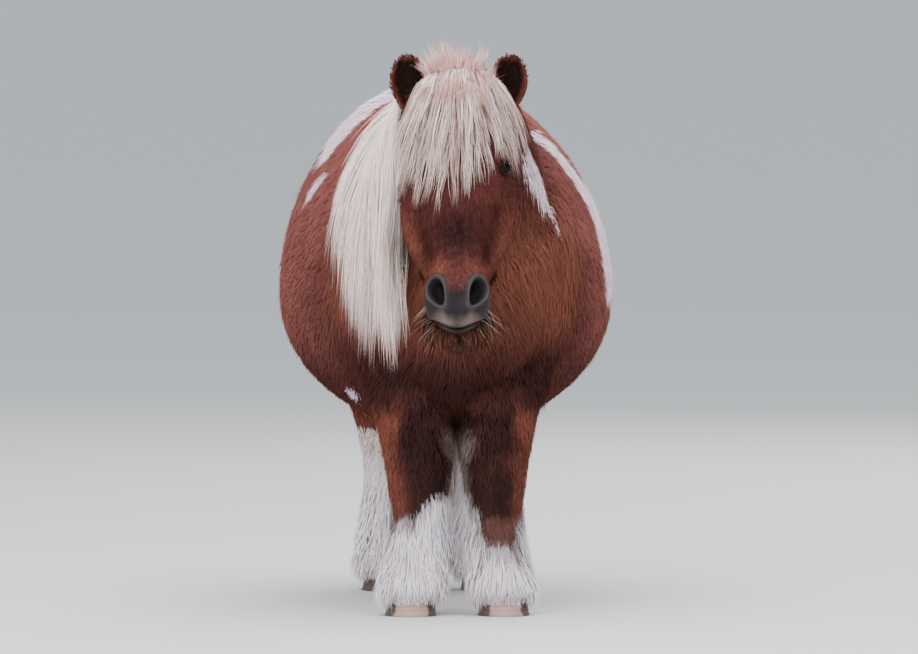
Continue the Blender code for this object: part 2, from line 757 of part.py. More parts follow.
def tail_locks(dock, surface):
    """Locks in tiers round the dock, which hang to just above the floor."""
    lots = random.Random(13)
    found = []
    y, half_width, count, length = TAIL_OVER_DOCK
    for k in range(count):
        share = k / (count - 1) * 2 - 1
        spot, normal = dropped_on(dock, TAIL_X + share * half_width * 0.8, y)
        heading = Vector((share * 0.5, 1.0, -0.2)).normalized()
        fall = Vector((0, 0, -0.85))
        found.append(made_lock(TAIL_LOCK, spot, normal, heading, length, surface, 0.012, fall, 0.0, lots, 0.016))
    for tier, (z, length, count) in enumerate(TAIL_TIERS):
        for k in range(count):
            turn = 2 * math.pi * (k + 0.5 * (tier % 2)) / count
            aim = Vector((math.cos(turn), math.sin(turn), 0))
            spot, normal, _, _ = dock.ray_cast(Vector((TAIL_X, 0.836, z)) + aim * 0.2, -aim)
            if spot is None:
                continue
            heading = (Vector((aim.x * 0.26, aim.y * 0.12 + 0.02, -0.5))).normalized()
            length = min(length, z - TAIL_TIP - 0.01)
            fall = Vector((0, 0, -0.5))
            found.append(made_lock(TAIL_LOCK, spot, normal, heading, length, surface, 0.012, fall, 0.0, lots, 0.016))
    return found


def feather_locks(rows, side, surface, seed):
    """Tiers of locks round the lower leg that hang over the hoof."""
    lots = random.Random(seed)
    centres = smooth_rows(rows, 60)
    found = []
    fall = Vector((0, 0, -0.12))
    for tier, (z, length, lean, count) in enumerate(FEATHER_TIERS):
        x, y = (np.interp(-z, -centres[:, 2], centres[:, k]) for k in (0, 1))
        middle = Vector((side * x, y, z))
        for k in range(count):
            turn = 2 * math.pi * (k + 0.5 * (tier % 2) + lots.uniform(-0.1, 0.1)) / count
            aim = Vector((math.cos(turn), math.sin(turn), 0))
            spot, normal, _, _ = surface.ray_cast(middle, aim)
            out = Vector((normal.x, normal.y, 0)).normalized()
            if out.dot(aim) < 0:
                out = -out
            behind = 1.0 + 0.25 * max(0.0, aim.y)
            heading = (out * lean * behind + Vector((0, 0, -1))).normalized()
            length_now = min(length * behind, (z - FEATHER_TIP) * 0.93)
            found.append(made_lock(FEATHER_LOCK, spot, out, heading, length_now, surface, 0.006, fall, 0.0, lots))
    return found


def beard_locks(surface):
    """Short locks under the chin and the jaw."""
    lots = random.Random(15)
    fall = Vector((0, 0, -0.3))
    found = []
    for down, back, half_width, count in BEARD_ROWS:
        for k in range(count):
            share = (k + 0.5) / count * 2 - 1
            inside = on_head(share * half_width, down, back) + Vector((0, 0, 0.02))
            spot, _, _, _ = surface.ray_cast(inside, Vector((0, 0, -1)))
            heading = Vector((share * 0.35, 0.05, -1)).normalized()
            out = Vector((share * 0.5, 0, -1)).normalized()
            found.append(made_lock(BEARD_LOCK, spot, out, heading, BEARD_LENGTH, surface, 0.005, fall, 0.0, lots, 0.010))
    return found


def breast_locks(surface):
    """Long coat hair on the breast, above and between the forelegs."""
    lots = random.Random(16)
    found = []
    fall = Vector((0, 0, -0.25))
    for row, (z, half_width, count) in enumerate(BREAST_ROWS):
        for k in range(count):
            x = (k / (count - 1) * 2 - 1) * half_width
            spot, normal, _, _ = surface.ray_cast(Vector((x, -0.6, z)), Vector((0, 1, 0)))
            lie = Vector((0, 0, -1))
            heading = (lie - normal * lie.dot(normal) + normal * 0.04).normalized()
            clear = 0.0035 + 0.0030 * (2 - row)
            found.append(made_lock(BREAST_LOCK, spot, normal, heading, BREAST_LENGTH, surface, clear, fall, 0.95, lots))
    return found


# Ears, eyes and hooves


def ear(side):
    """A cupped leaf with a wall, open at the front."""
    base = on_head(side * EAR_PLACE[0], EAR_PLACE[1], EAR_PLACE[2])
    up = Vector((side * 0.10, 0.06, 1.0)).normalized()
    ahead = Vector((side * 0.20, -1.0, 0.0))
    ahead = (ahead - up * ahead.dot(up)).normalized()
    across = up.cross(ahead)
    bm = bmesh.new()
    rings = []
    levels, turns = 7, 6
    for i in range(levels + 1):
        v = i / levels
        swell = max(0.13, math.sin(math.pi * min(1.0, 0.22 + 0.78 * v)) ** 0.50)
        wall = EAR_WALL * (0.2 + 0.8 * swell)
        middle = base + up * (EAR_LENGTH * v - EAR_SUNK) + ahead * 0.012 * v * v
        arcs = []
        for shrink in (0, wall):
            width = EAR_HALF_WIDTH * swell - shrink
            depth = EAR_DEPTH * swell * (1 - 0.40 * v) - shrink
            turn_ends = math.radians(118) * (1 - 0.20 * v)
            arcs.append([])
            for k in range(turns + 1):
                turn = turn_ends * (2 * k / turns - 1)
                place = middle + across * width * math.sin(turn) - ahead * depth * math.cos(turn)
                arcs[-1].append(bm.verts.new(place))
        rings.append(arcs[0] + arcs[1][::-1])
    skin_over(bm, rings)
    bmesh.ops.triangulate(bm, faces=bm.faces)
    return closed_object(bm, "ear_right" if side < 0 else "ear_left")


def eye(side):
    place, out, _, _ = eye_frame(side)
    return ball("eye_right" if side < 0 else "eye_left", place - out * EYE_SUNK, (EYE_RADIUS,) * 3, 12, 8)


def hoof(name, x, y):
    """A hoof with a sloping coronet on top and a hollow sole."""
    bm = bmesh.new()
    sides = 18
    rings = []
    levels = ((0.0, HOOF_GROUND), (0.5, None), (1.0, HOOF_TOP))
    for share, sizes in levels:
        if sizes is None:
            sizes = [(a + b) / 2 for a, b in zip(HOOF_GROUND, HOOF_TOP)]
        half_width, toe, heel = sizes
        verts = []
        for k in range(sides):
            turn = 2 * math.pi * k / sides
            reach = toe if math.sin(turn) < 0 else heel
            toe_share = 0.5 - 0.5 * math.sin(turn)
            height = share * (HOOF_HEIGHT[1] + (HOOF_HEIGHT[0] - HOOF_HEIGHT[1]) * toe_share)
            back = share * 0.006
            verts.append(bm.verts.new((x + half_width * math.cos(turn), y + back + reach * math.sin(turn), height)))
        rings.append(verts)
    skin_over(bm, rings)
    bm.normal_update()
    sole = min(bm.faces, key=lambda face: face.calc_center_median().z)
    bmesh.ops.inset_region(bm, faces=[sole], thickness=0.010, use_even_offset=True)
    for vert in sole.verts:
        vert.co.z += 0.003
    return closed_object(bm, name)


def coat(obj, finish):
    """Gives the object its finish."""
    colour, roughness = FINISHES[finish]
    material = bpy.data.materials.get(finish)
    if material is None:
        material = bpy.data.materials.new(finish)
        material.use_nodes = True
        shader = material.node_tree.nodes["Principled BSDF"]
        shader.inputs["Base Color"].default_value = (*colour, 1)
        shader.inputs["Roughness"].default_value = roughness
    obj.data.materials.clear()
    obj.data.materials.append(material)


def look_across(y):
    """How far across the body lies at this place along Y, as the head is turned a little to its right."""
    ahead = max(0.0, LOOK_START - y)
    soft = LOOK_START - LOOK_FULL
    return -LOOK_SLOPE * (ahead * ahead / (2 * soft) if ahead < soft else ahead - soft / 2)


def turn_head(objects):
    """Sets everything ahead of the shoulders across, so that the pony looks at the one who stands there."""
    for obj in objects:
        for vert in obj.data.vertices:
            vert.co.x += look_across(vert.co.y)


def settle(objects):
    """Moves everything so that the origin is under the middle of the whole box."""
    lows, highs = [], []
    for obj in objects:
        places = np.array([vert.co for vert in obj.data.vertices])
        lows.append(places.min(axis=0))
        highs.append(places.max(axis=0))
    low, high = np.min(lows, axis=0), np.max(highs, axis=0)
    shift = Vector((-(low[0] + high[0]) / 2, -(low[1] + high[1]) / 2, -low[2]))
    for obj in objects:
        for vert in obj.data.vertices:
            vert.co += shift


def main():
    removed(*bpy.data.objects)
    whole = body_form()
    fine = copy_of(whole, "fine_form")
    front = region(((-0.120, 0.350), (-0.020, 1.200), (-0.900, 1.200), (-0.900, 0.350)))
    boolean(fine, front, "INTERSECT")
    one_skin(fine, HEAD_VOXEL, 4)
    shape_head(fine)
    thinned(fine, HEAD_FACES)
    thinned(whole, BODY_FACES)
    head = boolean(fine, region(HEAD_REGION), "INTERSECT")
    head.name = "head"
    boolean(head, mouth_slit(), "DIFFERENCE")
    body = surface_of(whole, head)
    boolean(whole, region(HEAD_REGION, GAP), "DIFFERENCE")
    neck = parted(whole, "neck", region(NECK_REGION), region(NECK_REGION, GAP))
    legs, hooves, ears, eyes = {}, {}, {}, {}
    for side, word in ((1, "left"), (-1, "right")):
        for name, corners, inside in (
            ("fore", FORE_LEG_REGION, FORE_LEG_INSIDE),
            ("hind", HIND_LEG_REGION, HIND_LEG_INSIDE),
        ):
            tool = region(corners, 0.0, inside, side)
            wider = region(corners, GAP, inside, side)
            legs[name + "_" + word] = parted(whole, name + "_leg_" + word, tool, wider)
            x, y = HOOF_FORE if name == "fore" else HOOF_HIND
            hooves[name + "_" + word] = hoof("hoof_" + name + "_" + word, side * x, y)
        ears[word] = ear(side)
        eyes[word] = eye(side)
        boolean(head, lid_opening(side), "DIFFERENCE")
    torso = whole
    torso.name = "torso"
    fused(head, forelock_locks(body) + beard_locks(body))
    cut_clear(head, *ears.values(), *eyes.values())
    fused(torso, breast_locks(body))
    fused(neck, mane_locks(body))
    cut_clear(neck, torso, head, *ears.values())
    dock = dock_form()
    tail = fused(dock, tail_locks(surface_of(dock), body))
    cut_clear(tail, torso, legs["hind_left"], legs["hind_right"])
    for seed, (key, leg) in enumerate(legs.items()):
        side = 1 if key.endswith("left") else -1
        rows = FORE_LEG if key.startswith("fore") else HIND_LEG
        fused(leg, feather_locks(rows, side, surface_of(leg, hooves[key]), 20 + seed))
        cut_clear(leg, hooves[key])
    finishes = [(head, "chestnut_coat"), (neck, "chestnut_coat"), (torso, "chestnut_coat"), (tail, "cream_hair")]
    finishes += [(obj, "chestnut_coat") for obj in legs.values()]
    finishes += [(obj, "chestnut_coat") for obj in ears.values()]
    finishes += [(obj, "eye") for obj in eyes.values()]
    finishes += [(obj, "horn") for obj in hooves.values()]
    for obj, finish in finishes:
        largest_only(obj)
        coat(obj, finish)
    turn_head([obj for obj, _ in finishes])
    settle([obj for obj, _ in finishes])


main()
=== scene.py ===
import math
import random

import bmesh
import bpy
import numpy as np
from mathutils import Matrix, Vector
from mathutils.bvhtree import BVHTree


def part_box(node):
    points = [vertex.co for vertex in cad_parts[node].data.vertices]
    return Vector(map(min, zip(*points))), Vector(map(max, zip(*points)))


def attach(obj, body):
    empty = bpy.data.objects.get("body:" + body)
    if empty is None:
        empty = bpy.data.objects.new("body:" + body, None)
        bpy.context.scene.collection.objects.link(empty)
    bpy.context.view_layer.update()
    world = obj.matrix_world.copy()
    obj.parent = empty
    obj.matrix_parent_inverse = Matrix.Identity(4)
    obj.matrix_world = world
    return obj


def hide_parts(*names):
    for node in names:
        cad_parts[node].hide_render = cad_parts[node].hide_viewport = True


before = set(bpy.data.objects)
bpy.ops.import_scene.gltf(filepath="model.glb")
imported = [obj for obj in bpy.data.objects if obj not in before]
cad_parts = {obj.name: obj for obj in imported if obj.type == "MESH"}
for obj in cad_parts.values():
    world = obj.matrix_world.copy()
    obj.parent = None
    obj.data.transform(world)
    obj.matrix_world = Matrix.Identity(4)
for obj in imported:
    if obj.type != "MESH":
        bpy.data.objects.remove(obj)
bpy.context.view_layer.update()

# Sizes are in metres, with the floor at z = 0 and the front hooves near y = 0, and the pony faces -Y
POLL = Vector((0.0, -0.295, 0.915))
FACE_TILT = math.radians(25.0)
FACE_DOWN = Vector((0, -math.sin(FACE_TILT), -math.cos(FACE_TILT)))
FACE_BACK = Vector((0, math.cos(FACE_TILT), -math.sin(FACE_TILT)))
MUZZLE_END = 0.447
# The head looks a little to its right: where along Y that begins, where it is full, and its slope there
LOOK_START = -0.02
LOOK_FULL = -0.20
LOOK_SLOPE = 0.068
BODY_VOXEL = 0.009
ACROSS = Vector((1, 0, 0))
DOWN = Vector((0, 0, -1))
ABOVE_ALL = 1.5

# Torso: place along Y, height of the middle, half width, reach up, reach down
TORSO = (
    (-0.176, 0.600, 0.050, 0.080, 0.080),
    (-0.150, 0.600, 0.112, 0.135, 0.140),
    (-0.100, 0.600, 0.158, 0.200, 0.192),
    (-0.030, 0.590, 0.190, 0.262, 0.222),
    (0.060, 0.570, 0.222, 0.322, 0.242),
    (0.160, 0.550, 0.256, 0.338, 0.242),
    (0.300, 0.530, 0.283, 0.347, 0.235),
    (0.420, 0.535, 0.285, 0.349, 0.235),
    (0.540, 0.560, 0.266, 0.336, 0.228),
    (0.640, 0.600, 0.228, 0.290, 0.205),
    (0.720, 0.620, 0.184, 0.232, 0.200),
    (0.775, 0.620, 0.125, 0.160, 0.165),
    (0.800, 0.620, 0.055, 0.085, 0.085),
)
# Neck: middle (y, z), half width, reach to the crest, reach to the throat
NECK = (
    (0.080, 0.620, 0.165, 0.190, 0.180),
    (-0.050, 0.700, 0.156, 0.205, 0.175),
    (-0.140, 0.768, 0.132, 0.176, 0.128),
    (-0.215, 0.828, 0.108, 0.136, 0.094),
    (-0.272, 0.868, 0.086, 0.086, 0.074),
    (-0.308, 0.892, 0.045, 0.038, 0.040),
)
# Head, down the face from the poll: front line, back line, half width
HEAD = (
    (-0.022, 0.030, 0.075, 0.035),
    (-0.008, 0.012, 0.100, 0.058),
    (0.030, -0.006, 0.130, 0.078),
    (0.075, -0.014, 0.156, 0.091),
    (0.120, -0.012, 0.180, 0.098),
    (0.165, -0.004, 0.194, 0.100),
    (0.210, 0.002, 0.192, 0.096),
    (0.250, 0.006, 0.174, 0.088),
    (0.285, 0.008, 0.152, 0.075),
    (0.315, 0.008, 0.133, 0.061),
    (0.340, 0.006, 0.120, 0.0525),
    (0.362, 0.003, 0.114, 0.0525),
    (0.388, 0.002, 0.112, 0.0550),
    (0.410, 0.006, 0.109, 0.0480),
    (0.428, 0.014, 0.103, 0.0380),
    (0.441, 0.026, 0.090, 0.0275),
    (MUZZLE_END, 0.042, 0.074, 0.0150),
)
HEAD_WIDEST = 0.44
# Legs on the +X side, downwards: middle (x, y, z), half width, half depth
FORE_LEG = (
    (0.096, 0.050, 0.560, 0.092, 0.125),
    (0.088, 0.042, 0.450, 0.086, 0.108),
    (0.076, 0.022, 0.345, 0.067, 0.076),
    (0.068, 0.004, 0.265, 0.056, 0.058),
    (0.066, -0.004, 0.215, 0.052, 0.054),
    (0.067, 0.000, 0.165, 0.044, 0.047),
    (0.069, 0.003, 0.120, 0.041, 0.045),
    (0.073, 0.000, 0.078, 0.044, 0.050),
    (0.077, -0.010, 0.046, 0.042, 0.046),
    (0.079, -0.016, 0.012, 0.041, 0.044),
)
HIND_LEG = (
    (0.110, 0.620, 0.600, 0.105, 0.160),
    (0.122, 0.612, 0.480, 0.096, 0.142),
    (0.106, 0.650, 0.375, 0.069, 0.095),
    (0.092, 0.700, 0.300, 0.051, 0.063),
    (0.086, 0.722, 0.255, 0.046, 0.057),
    (0.083, 0.718, 0.200, 0.041, 0.047),
    (0.083, 0.710, 0.130, 0.040, 0.045),
    (0.084, 0.702, 0.080, 0.043, 0.050),
    (0.085, 0.688, 0.046, 0.042, 0.046),
    (0.086, 0.680, 0.012, 0.041, 0.044),
)
# Round masses under the coat: middle (x, y, z) and radii, on the +X side
MASSES = (
    ((0.060, -0.100, 0.560), (0.082, 0.060, 0.130)),
    ((0.110, 0.030, 0.600), (0.092, 0.120, 0.200)),
    ((0.120, 0.640, 0.620), (0.104, 0.150, 0.205)),
    ((0.076, 0.725, 0.570), (0.080, 0.078, 0.165)),
)
# Parts of the body as outlines (y, z)
HEAD_REGION = (
    (-0.300, 0.380), (-0.176, 0.672), (-0.300, 1.000), (-0.340, 1.200), (-0.900, 1.200), (-0.900, 0.380),
)
NECK_REGION = ((-0.300, 0.440), (0.050, 0.905), (0.200, 1.200), (-0.900, 1.200), (-0.900, 0.440))
FORE_LEG_REGION = ((-0.240, -0.100), (-0.240, 0.400), (0.096, 0.400), (0.096, -0.100))
HIND_LEG_REGION = ((0.500, -0.100), (0.500, 0.190), (0.600, 0.410), (0.900, 0.410), (0.900, -0.100))

# Depth of the coat over the skin, and length of its hair
COAT_DEPTH = 0.0120
NECK_DEPTH = 0.0110
LEG_DEPTH = 0.0030
FACE_DEPTH = 0.0032
COAT_LENGTH = 0.045
LEG_LENGTH = 0.016
FACE_LENGTH = 0.0095
# Where the legs' coat gets longer upwards, and where the face's gets shorter downwards: start, width
LEG_GROWS = (0.22, 0.12)
FACE_THINS = (0.33, 0.03)
# Heights of the fore socks and of the right and left hind socks, and of the feathers' lower and upper end
FORE_SOCK = 0.206
HIND_SOCKS = (0.305, 0.235)
FEATHER_ENDS = (0.036, 0.235)
# Where the hind part begins along Y, and where the breast's piece of coat ends
HIND_PART = 0.4
BREAST_END = 0.05

# Head, in its own frame: across, down, back
EYE_PLACE = (0.0805, 0.145, 0.0250)
EYE_RADIUS = 0.0175
EYE_SUNK = 0.0125
LID_THICKNESS = 0.0026
LID_HALF_LENGTH = 0.0165
LID_HALF_HEIGHT = 0.0098
IRIS_RADIUS = 0.0148
PUPIL_HALF = (0.0078, 0.0042)
CORNEA_START = 0.72
CORNEA_RISE = 0.0012
NOSTRIL_PLACE = (0.036, 0.376, 0.0127)
NOSTRIL_HALF = (0.0142, 0.0258)
NOSTRIL_DEPTH = 0.022
MOUTH_FRONT = (0.4415, 0.024)
MOUTH_CORNER = (0.402, 0.090)
EAR_PLACE = (0.078, 0.018, 0.050)
EAR_LENGTH = 0.109
EAR_WIDEST = 0.56
EAR_SUNK = 0.032
EAR_HALF_WIDTH = 0.0315
EAR_DEPTH = 0.025
EAR_WALL = 0.0040
# Hooves: middle of the sole, half width with toe and heel reach at ground and top, height at toe and heel
HOOF_FORE = (0.079, -0.016)
HOOF_HIND = (0.086, 0.680)
HOOF_GROUND = (0.044, 0.050, 0.040)
HOOF_TOP = (0.0385, 0.036, 0.038)
HOOF_HEIGHT = (0.046, 0.026)
# Tail: the dock as place along Y, height, half width, half depth
TAIL_X = -0.015
TAIL_Y = 0.835
DOCK_COAT = 0.006
DOCK = (
    (0.740, 0.775, 0.026, 0.026),
    (0.780, 0.790, 0.034, 0.032),
    (0.815, 0.760, 0.040, 0.034),
    (0.832, 0.690, 0.042, 0.034),
    (0.840, 0.570, 0.036, 0.030),
    (0.844, 0.470, 0.018, 0.014),
)

# Colours of the coat, as linear light
CHESTNUT = (0.086, 0.029, 0.025)
# The flanks' own coat colour with a painted sheen on its hair
FLANK_COAT_AND_SHEEN = (0.240, 0.082, 0.070)
# Painted shade for the lower sides
LOW_FLANK_SHADE = (0.082, 0.029, 0.025)
# Painted shade for the belly and wherever the skin faces down
BELLY_SHADE_COAT = (0.050, 0.018, 0.015)
FIERY = (0.31, 0.105, 0.066)
# Painted shade for the lower chest and the legs
PAINTED_SHADE_COAT = (0.024, 0.012, 0.012)
# Painted shade for the inner sides of the fore legs
INNER_LEG_SHADE_COAT = (0.034, 0.015, 0.013)
LEG_RUST = (0.110, 0.036, 0.028)
# Painted rim light for the outer sides of the legs
LEG_RIM_LIGHT = (0.22, 0.068, 0.045)
SHIN_BROWN = (0.150, 0.072, 0.058)
WHITE_COAT = (0.95, 0.85, 0.91)
PATCH_COAT = (0.88, 0.68, 0.76)
PALE_COAT = (0.60, 0.48, 0.44)
STOCKING_CREAM = (0.72, 0.58, 0.50)
STAINED_WHITE = (0.60, 0.40, 0.33)
MUDDY_WHITE = (0.22, 0.15, 0.12)
# Colours of the head
FACE_COAT = (0.088, 0.025, 0.0215)
FACE_DARK = (0.022, 0.009, 0.008)
# Painted shade for the hollow below the cheek bone
CHEEK_HOLLOW_SHADE = (0.036, 0.013, 0.010)
NOSE_BROWN = (0.030, 0.014, 0.013)
CHIN_BROWN = (0.026, 0.013, 0.010)
LID_BROWN = (0.030, 0.016, 0.012)
MUZZLE_GREY = (0.021, 0.0165, 0.0165)
MUZZLE_DARK = (0.013, 0.010, 0.012)
# Painted sheen for the nostrils' rims
NOSTRIL_RIM_SHEEN = (0.052, 0.043, 0.046)
LIP_PALE = (0.165, 0.128, 0.106)
LOWER_LIP = (0.030, 0.020, 0.018)
# Painted shade for inside the nostrils and the mouth line
SHADE_BLACK = (0.006, 0.004, 0.005)
EAR_ROOT = (0.13, 0.040, 0.030)
EAR_RUST = (0.108, 0.030, 0.022)
# Ear cup colour: darker skin with painted shade
EAR_CUP_SHADE = (0.016, 0.008, 0.007)
EYE_BROWN = (0.014, 0.008, 0.007)
IRIS = (0.014, 0.007, 0.006)
PUPIL = (0.004, 0.003, 0.004)
BEARD_PALE = (0.30, 0.155, 0.10)
BEARD_DARK = (0.035, 0.014, 0.012)
# Colours of long hair and hooves
CREAM = (0.94, 0.76, 0.73)
FLAXEN = (0.70, 0.50, 0.34)
ROSY = (0.50, 0.20, 0.16)
HAIR_BROWN = (0.26, 0.10, 0.08)
# Painted shadow for dark strands in the forelock
PAINTED_SHADOW_HAIR = (0.13, 0.045, 0.040)
TAIL_STRIPE = (0.24, 0.09, 0.05)
DOCK_BROWN = (0.42, 0.30, 0.20)
WHISKER = (0.70, 0.58, 0.50)
HORN = (0.38, 0.25, 0.21)
MUD = (0.028, 0.019, 0.015)

# The layout's place in the frame, read off the left fore hoof
_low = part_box("hoof_fore_left")[0]
SHIFT = Vector((_low.x - (HOOF_FORE[0] - HOOF_GROUND[0]), _low.y - (HOOF_FORE[1] - HOOF_GROUND[1]), 0.0))


def smooth_rows(rows, count):
    """Rows of numbers read off as one smooth curve at evenly spaced places, ends included."""
    rows = np.array(rows, float)
    padded = np.vstack([2 * rows[0] - rows[1], rows, 2 * rows[-1] - rows[-2]])
    found = []
    for step in np.linspace(0, len(rows) - 1, count):
        i = min(int(step), len(rows) - 2)
        t = step - i
        a, b, c, d = padded[i : i + 4]
        bend = (2 * a - 5 * b + 4 * c - d) * t * t + (3 * b - a - 3 * c + d) * t**3
        found.append(0.5 * (2 * b + (c - a) * t + bend))
    return np.array(found)


def eased(value, power):
    return math.copysign(abs(value) ** power, value)


def smooth_share(value):
    """0 below 0, 1 above 1, and an even curve between them."""
    t = np.clip(value, 0.0, 1.0)
    return t * t * (3 - 2 * t)


def rising(value, start, width):
    """0 up to the start, and 1 once past it by the width."""
    return smooth_share((value - start) / width)


def falling(value, end, width):
    """1 until the value is the width short of the end, and 0 from the end on."""
    return smooth_share((end - value) / width)


def bump(distance, width):
    """1 at no distance, falling off smoothly over the width."""
    return np.exp(-((distance / width) ** 2))


def unit(vectors):
    return vectors / np.maximum(np.linalg.norm(vectors, axis=-1, keepdims=True), 1e-9)


NOISE_PRIMES = (73856093, 19349663, 83492791)
CELL_STEPS = (1, 20011, 400460021)


def cells_of(points, size):
    """A number for the cell of space that each point lies in."""
    return np.floor(points / size).astype(np.int64) @ np.array(CELL_STEPS)


def noise(points, scale, seed):
    """Smooth random values from -1 to 1 over space."""
    spot = points * scale
    cell = np.floor(spot).astype(np.int64)
    part = spot - cell
    part = part * part * (3 - 2 * part)
    total = np.zeros(len(points))
    for corner in range(8):
        step = np.array((corner & 1, (corner >> 1) & 1, corner >> 2))
        key = (cell + step) @ np.array(NOISE_PRIMES) + seed * 7919
        key = (key ^ (key >> 13)) * 1274126177 & 0xFFFFFFFF
        value = ((key ^ (key >> 16)) & 0xFFFF) / 32767.5 - 1
        weight = np.prod(np.where(step == 1, part, 1 - part), axis=1)
        total += value * weight
    return total


def same_for(points, value):
    """The same colour or direction for each of the points."""
    return np.tile(value, (len(points), 1)).astype(float)


def painted(colours, *layers):
    """The colours, taken towards the colour of each layer in turn by the layer's share of each place."""
    for other, share in layers:
        colours = colours + (np.array(other) - colours) * share[:, None]
    return colours


def between(one, other, share):
    """The one at a share of 0 and the other at a share of 1, for each place."""
    return one * (1 - share[:, None]) + other * share[:, None]


def flattened(ways, normals, share=1.0):
    """The ways, laid along the skin by this share of their rise off it."""
    return unit(ways - share * normals * np.sum(ways * normals, axis=1, keepdims=True))


def in_frame(points):
    """Places in the frame of these places in the layout, with the head turned a little to its right."""
    ahead = np.maximum(0.0, LOOK_START - points[..., 1])
    soft = LOOK_START - LOOK_FULL
    look = np.where(ahead < soft, ahead * ahead / (2 * soft), ahead - soft / 2)
    placed = points + np.array(SHIFT)
    placed[..., 0] -= LOOK_SLOPE * look
    return placed


# Objects


def added(name, data):
    """A new object in the scene."""
    obj = bpy.data.objects.new(name, data)
    bpy.context.scene.collection.objects.link(obj)
    return obj


def object_of(bm, name):
    mesh = bpy.data.meshes.new(name)
    bm.to_mesh(mesh)
    bm.free()
    return added(name, mesh)


def joined(name, pieces):
    """One object that holds the meshes of all these, which are then removed."""
    bm = bmesh.new()
    for piece in pieces:
        bm.from_mesh(piece.data)
        bpy.data.objects.remove(piece)
    return object_of(bm, name)


def one_skin(obj, rounds):
    """One skin round overlapping solids, with the joins between them softened."""
    remesh = obj.modifiers.new("one_skin", "REMESH")
    remesh.mode = "VOXEL"
    remesh.voxel_size = BODY_VOXEL
    soften = obj.modifiers.new("soften", "SMOOTH")
    soften.factor = 0.5
    soften.iterations = rounds
    bpy.context.view_layer.update()
    graph = bpy.context.evaluated_depsgraph_get()
    mesh = bpy.data.meshes.new_from_object(obj.evaluated_get(graph))
    old = obj.data
    obj.modifiers.clear()
    obj.data = mesh
    bpy.data.meshes.remove(old)
    return obj


def wrapped(name, levels, sides, place):
    """A closed tube whose rings are put where place(level, cosine, sine) says."""
    bm = bmesh.new()
    bmesh.ops.create_cone(
        bm, cap_ends=True, segments=sides, radius1=1, radius2=1, depth=levels,
        matrix=Matrix.Translation((0, 0, levels / 2)),
    )
    upright = [edge for edge in bm.edges if abs(edge.verts[0].co.z - edge.verts[1].co.z) > 0.5]
    bmesh.ops.subdivide_edges(bm, edges=upright, cuts=levels - 1, use_grid_fill=True)
    for vert in bm.verts:
        vert.co = place(round(vert.co.z), vert.co.x, vert.co.y)
    bmesh.ops.recalc_face_normals(bm, faces=bm.faces)
    if bm.calc_volume(signed=True) < 0:
        bmesh.ops.reverse_faces(bm, faces=bm.faces)
    return object_of(bm, name)


def loft(name, sections, sides, power=1.0):
    """A closed tube through (middle, up, half width, reach up, reach down) sections."""
    sections = list(sections)

    def place(level, cosine, sine):
        middle, up, half_width, reach_up, reach_down = sections[level]
        reach = reach_up if sine > 0 else reach_down
        return middle + ACROSS * half_width * eased(cosine, power) + up * reach * eased(sine, power)

    return wrapped(name, len(sections) - 1, sides, place)


def ball(name, middle, radii):
    bm = bmesh.new()
    place = Matrix.Translation(middle) @ Matrix.Diagonal((*radii, 1))
    bmesh.ops.create_uvsphere(bm, u_segments=24, v_segments=16, radius=1, matrix=place)
    return object_of(bm, name)


def points_of(mesh, what="co"):
    found = np.empty(len(mesh.vertices) * 3)
    mesh.vertices.foreach_get(what, found)
    return found.reshape(-1, 3)


# The body's plain forms


def ways_along(rows):
    """The direction of a row of (y, z) places at each of them."""
    for k in range(len(rows)):
        ahead, behind = rows[min(k + 1, len(rows) - 1)], rows[max(k - 1, 0)]
        yield Vector((0, ahead[0] - behind[0], ahead[1] - behind[1])).normalized()


def torso_sections():
    for y, z, half_width, up, down in smooth_rows(TORSO, 44):
        yield Vector((0, y, z)), Vector((0, 0, 1)), half_width, up, down


def neck_sections():
    rows = smooth_rows(NECK, 22)
    for (y, z, half_width, up, down), along in zip(rows, ways_along(rows)):
        yield Vector((0, y, z)), along.cross(ACROSS), half_width, up, down


def on_head(across, down, back):
    """The point at this place in the head's own frame."""
    return POLL + Vector((across, 0, 0)) + FACE_DOWN * down + FACE_BACK * back


def on_side(side, place):
    """The point at this place of the head, on one side of it."""
    across, down, back = place
    return on_head(side * across, down, back)


def head_sections():
    for down, front, back, half_width in smooth_rows(HEAD, 46):
        middle = front + (back - front) * HEAD_WIDEST
        yield on_head(0, down, middle), FACE_BACK, half_width, back - middle, middle - front


def leg_sections(rows, side):
    for x, y, z, half_width, half_depth in smooth_rows(rows, 34):
        yield Vector((side * x, y, z)), Vector((0, 1, 0)), half_width, half_depth, half_depth


def body_form():
    """The whole animal as one soft skin, apart from ears, eyes, hooves and hair."""
    pieces = [
        loft("torso_form", torso_sections(), 56),
        loft("neck_form", neck_sections(), 44),
        loft("skull_form", head_sections(), 44, 0.92),
    ]
    for side in (-1, 1):
        for (x, y, z), radii in MASSES:
            pieces.append(ball("mass_form", Vector((side * x, y, z)), radii))
    pieces = [one_skin(joined("trunk_form", pieces), rounds=14)]
    for side in (-1, 1):
        pieces.append(loft("fore_form", leg_sections(FORE_LEG, side), 32, 0.92))
        pieces.append(loft("hind_form", leg_sections(HIND_LEG, side), 32, 0.92))
    return one_skin(joined("skin", pieces), rounds=5)


def head_places(points):
    """Across, down and back in the head's frame, as three columns."""
    away = points - np.array(POLL)
    return away[:, 0], away @ np.array(FACE_DOWN), away @ np.array(FACE_BACK)


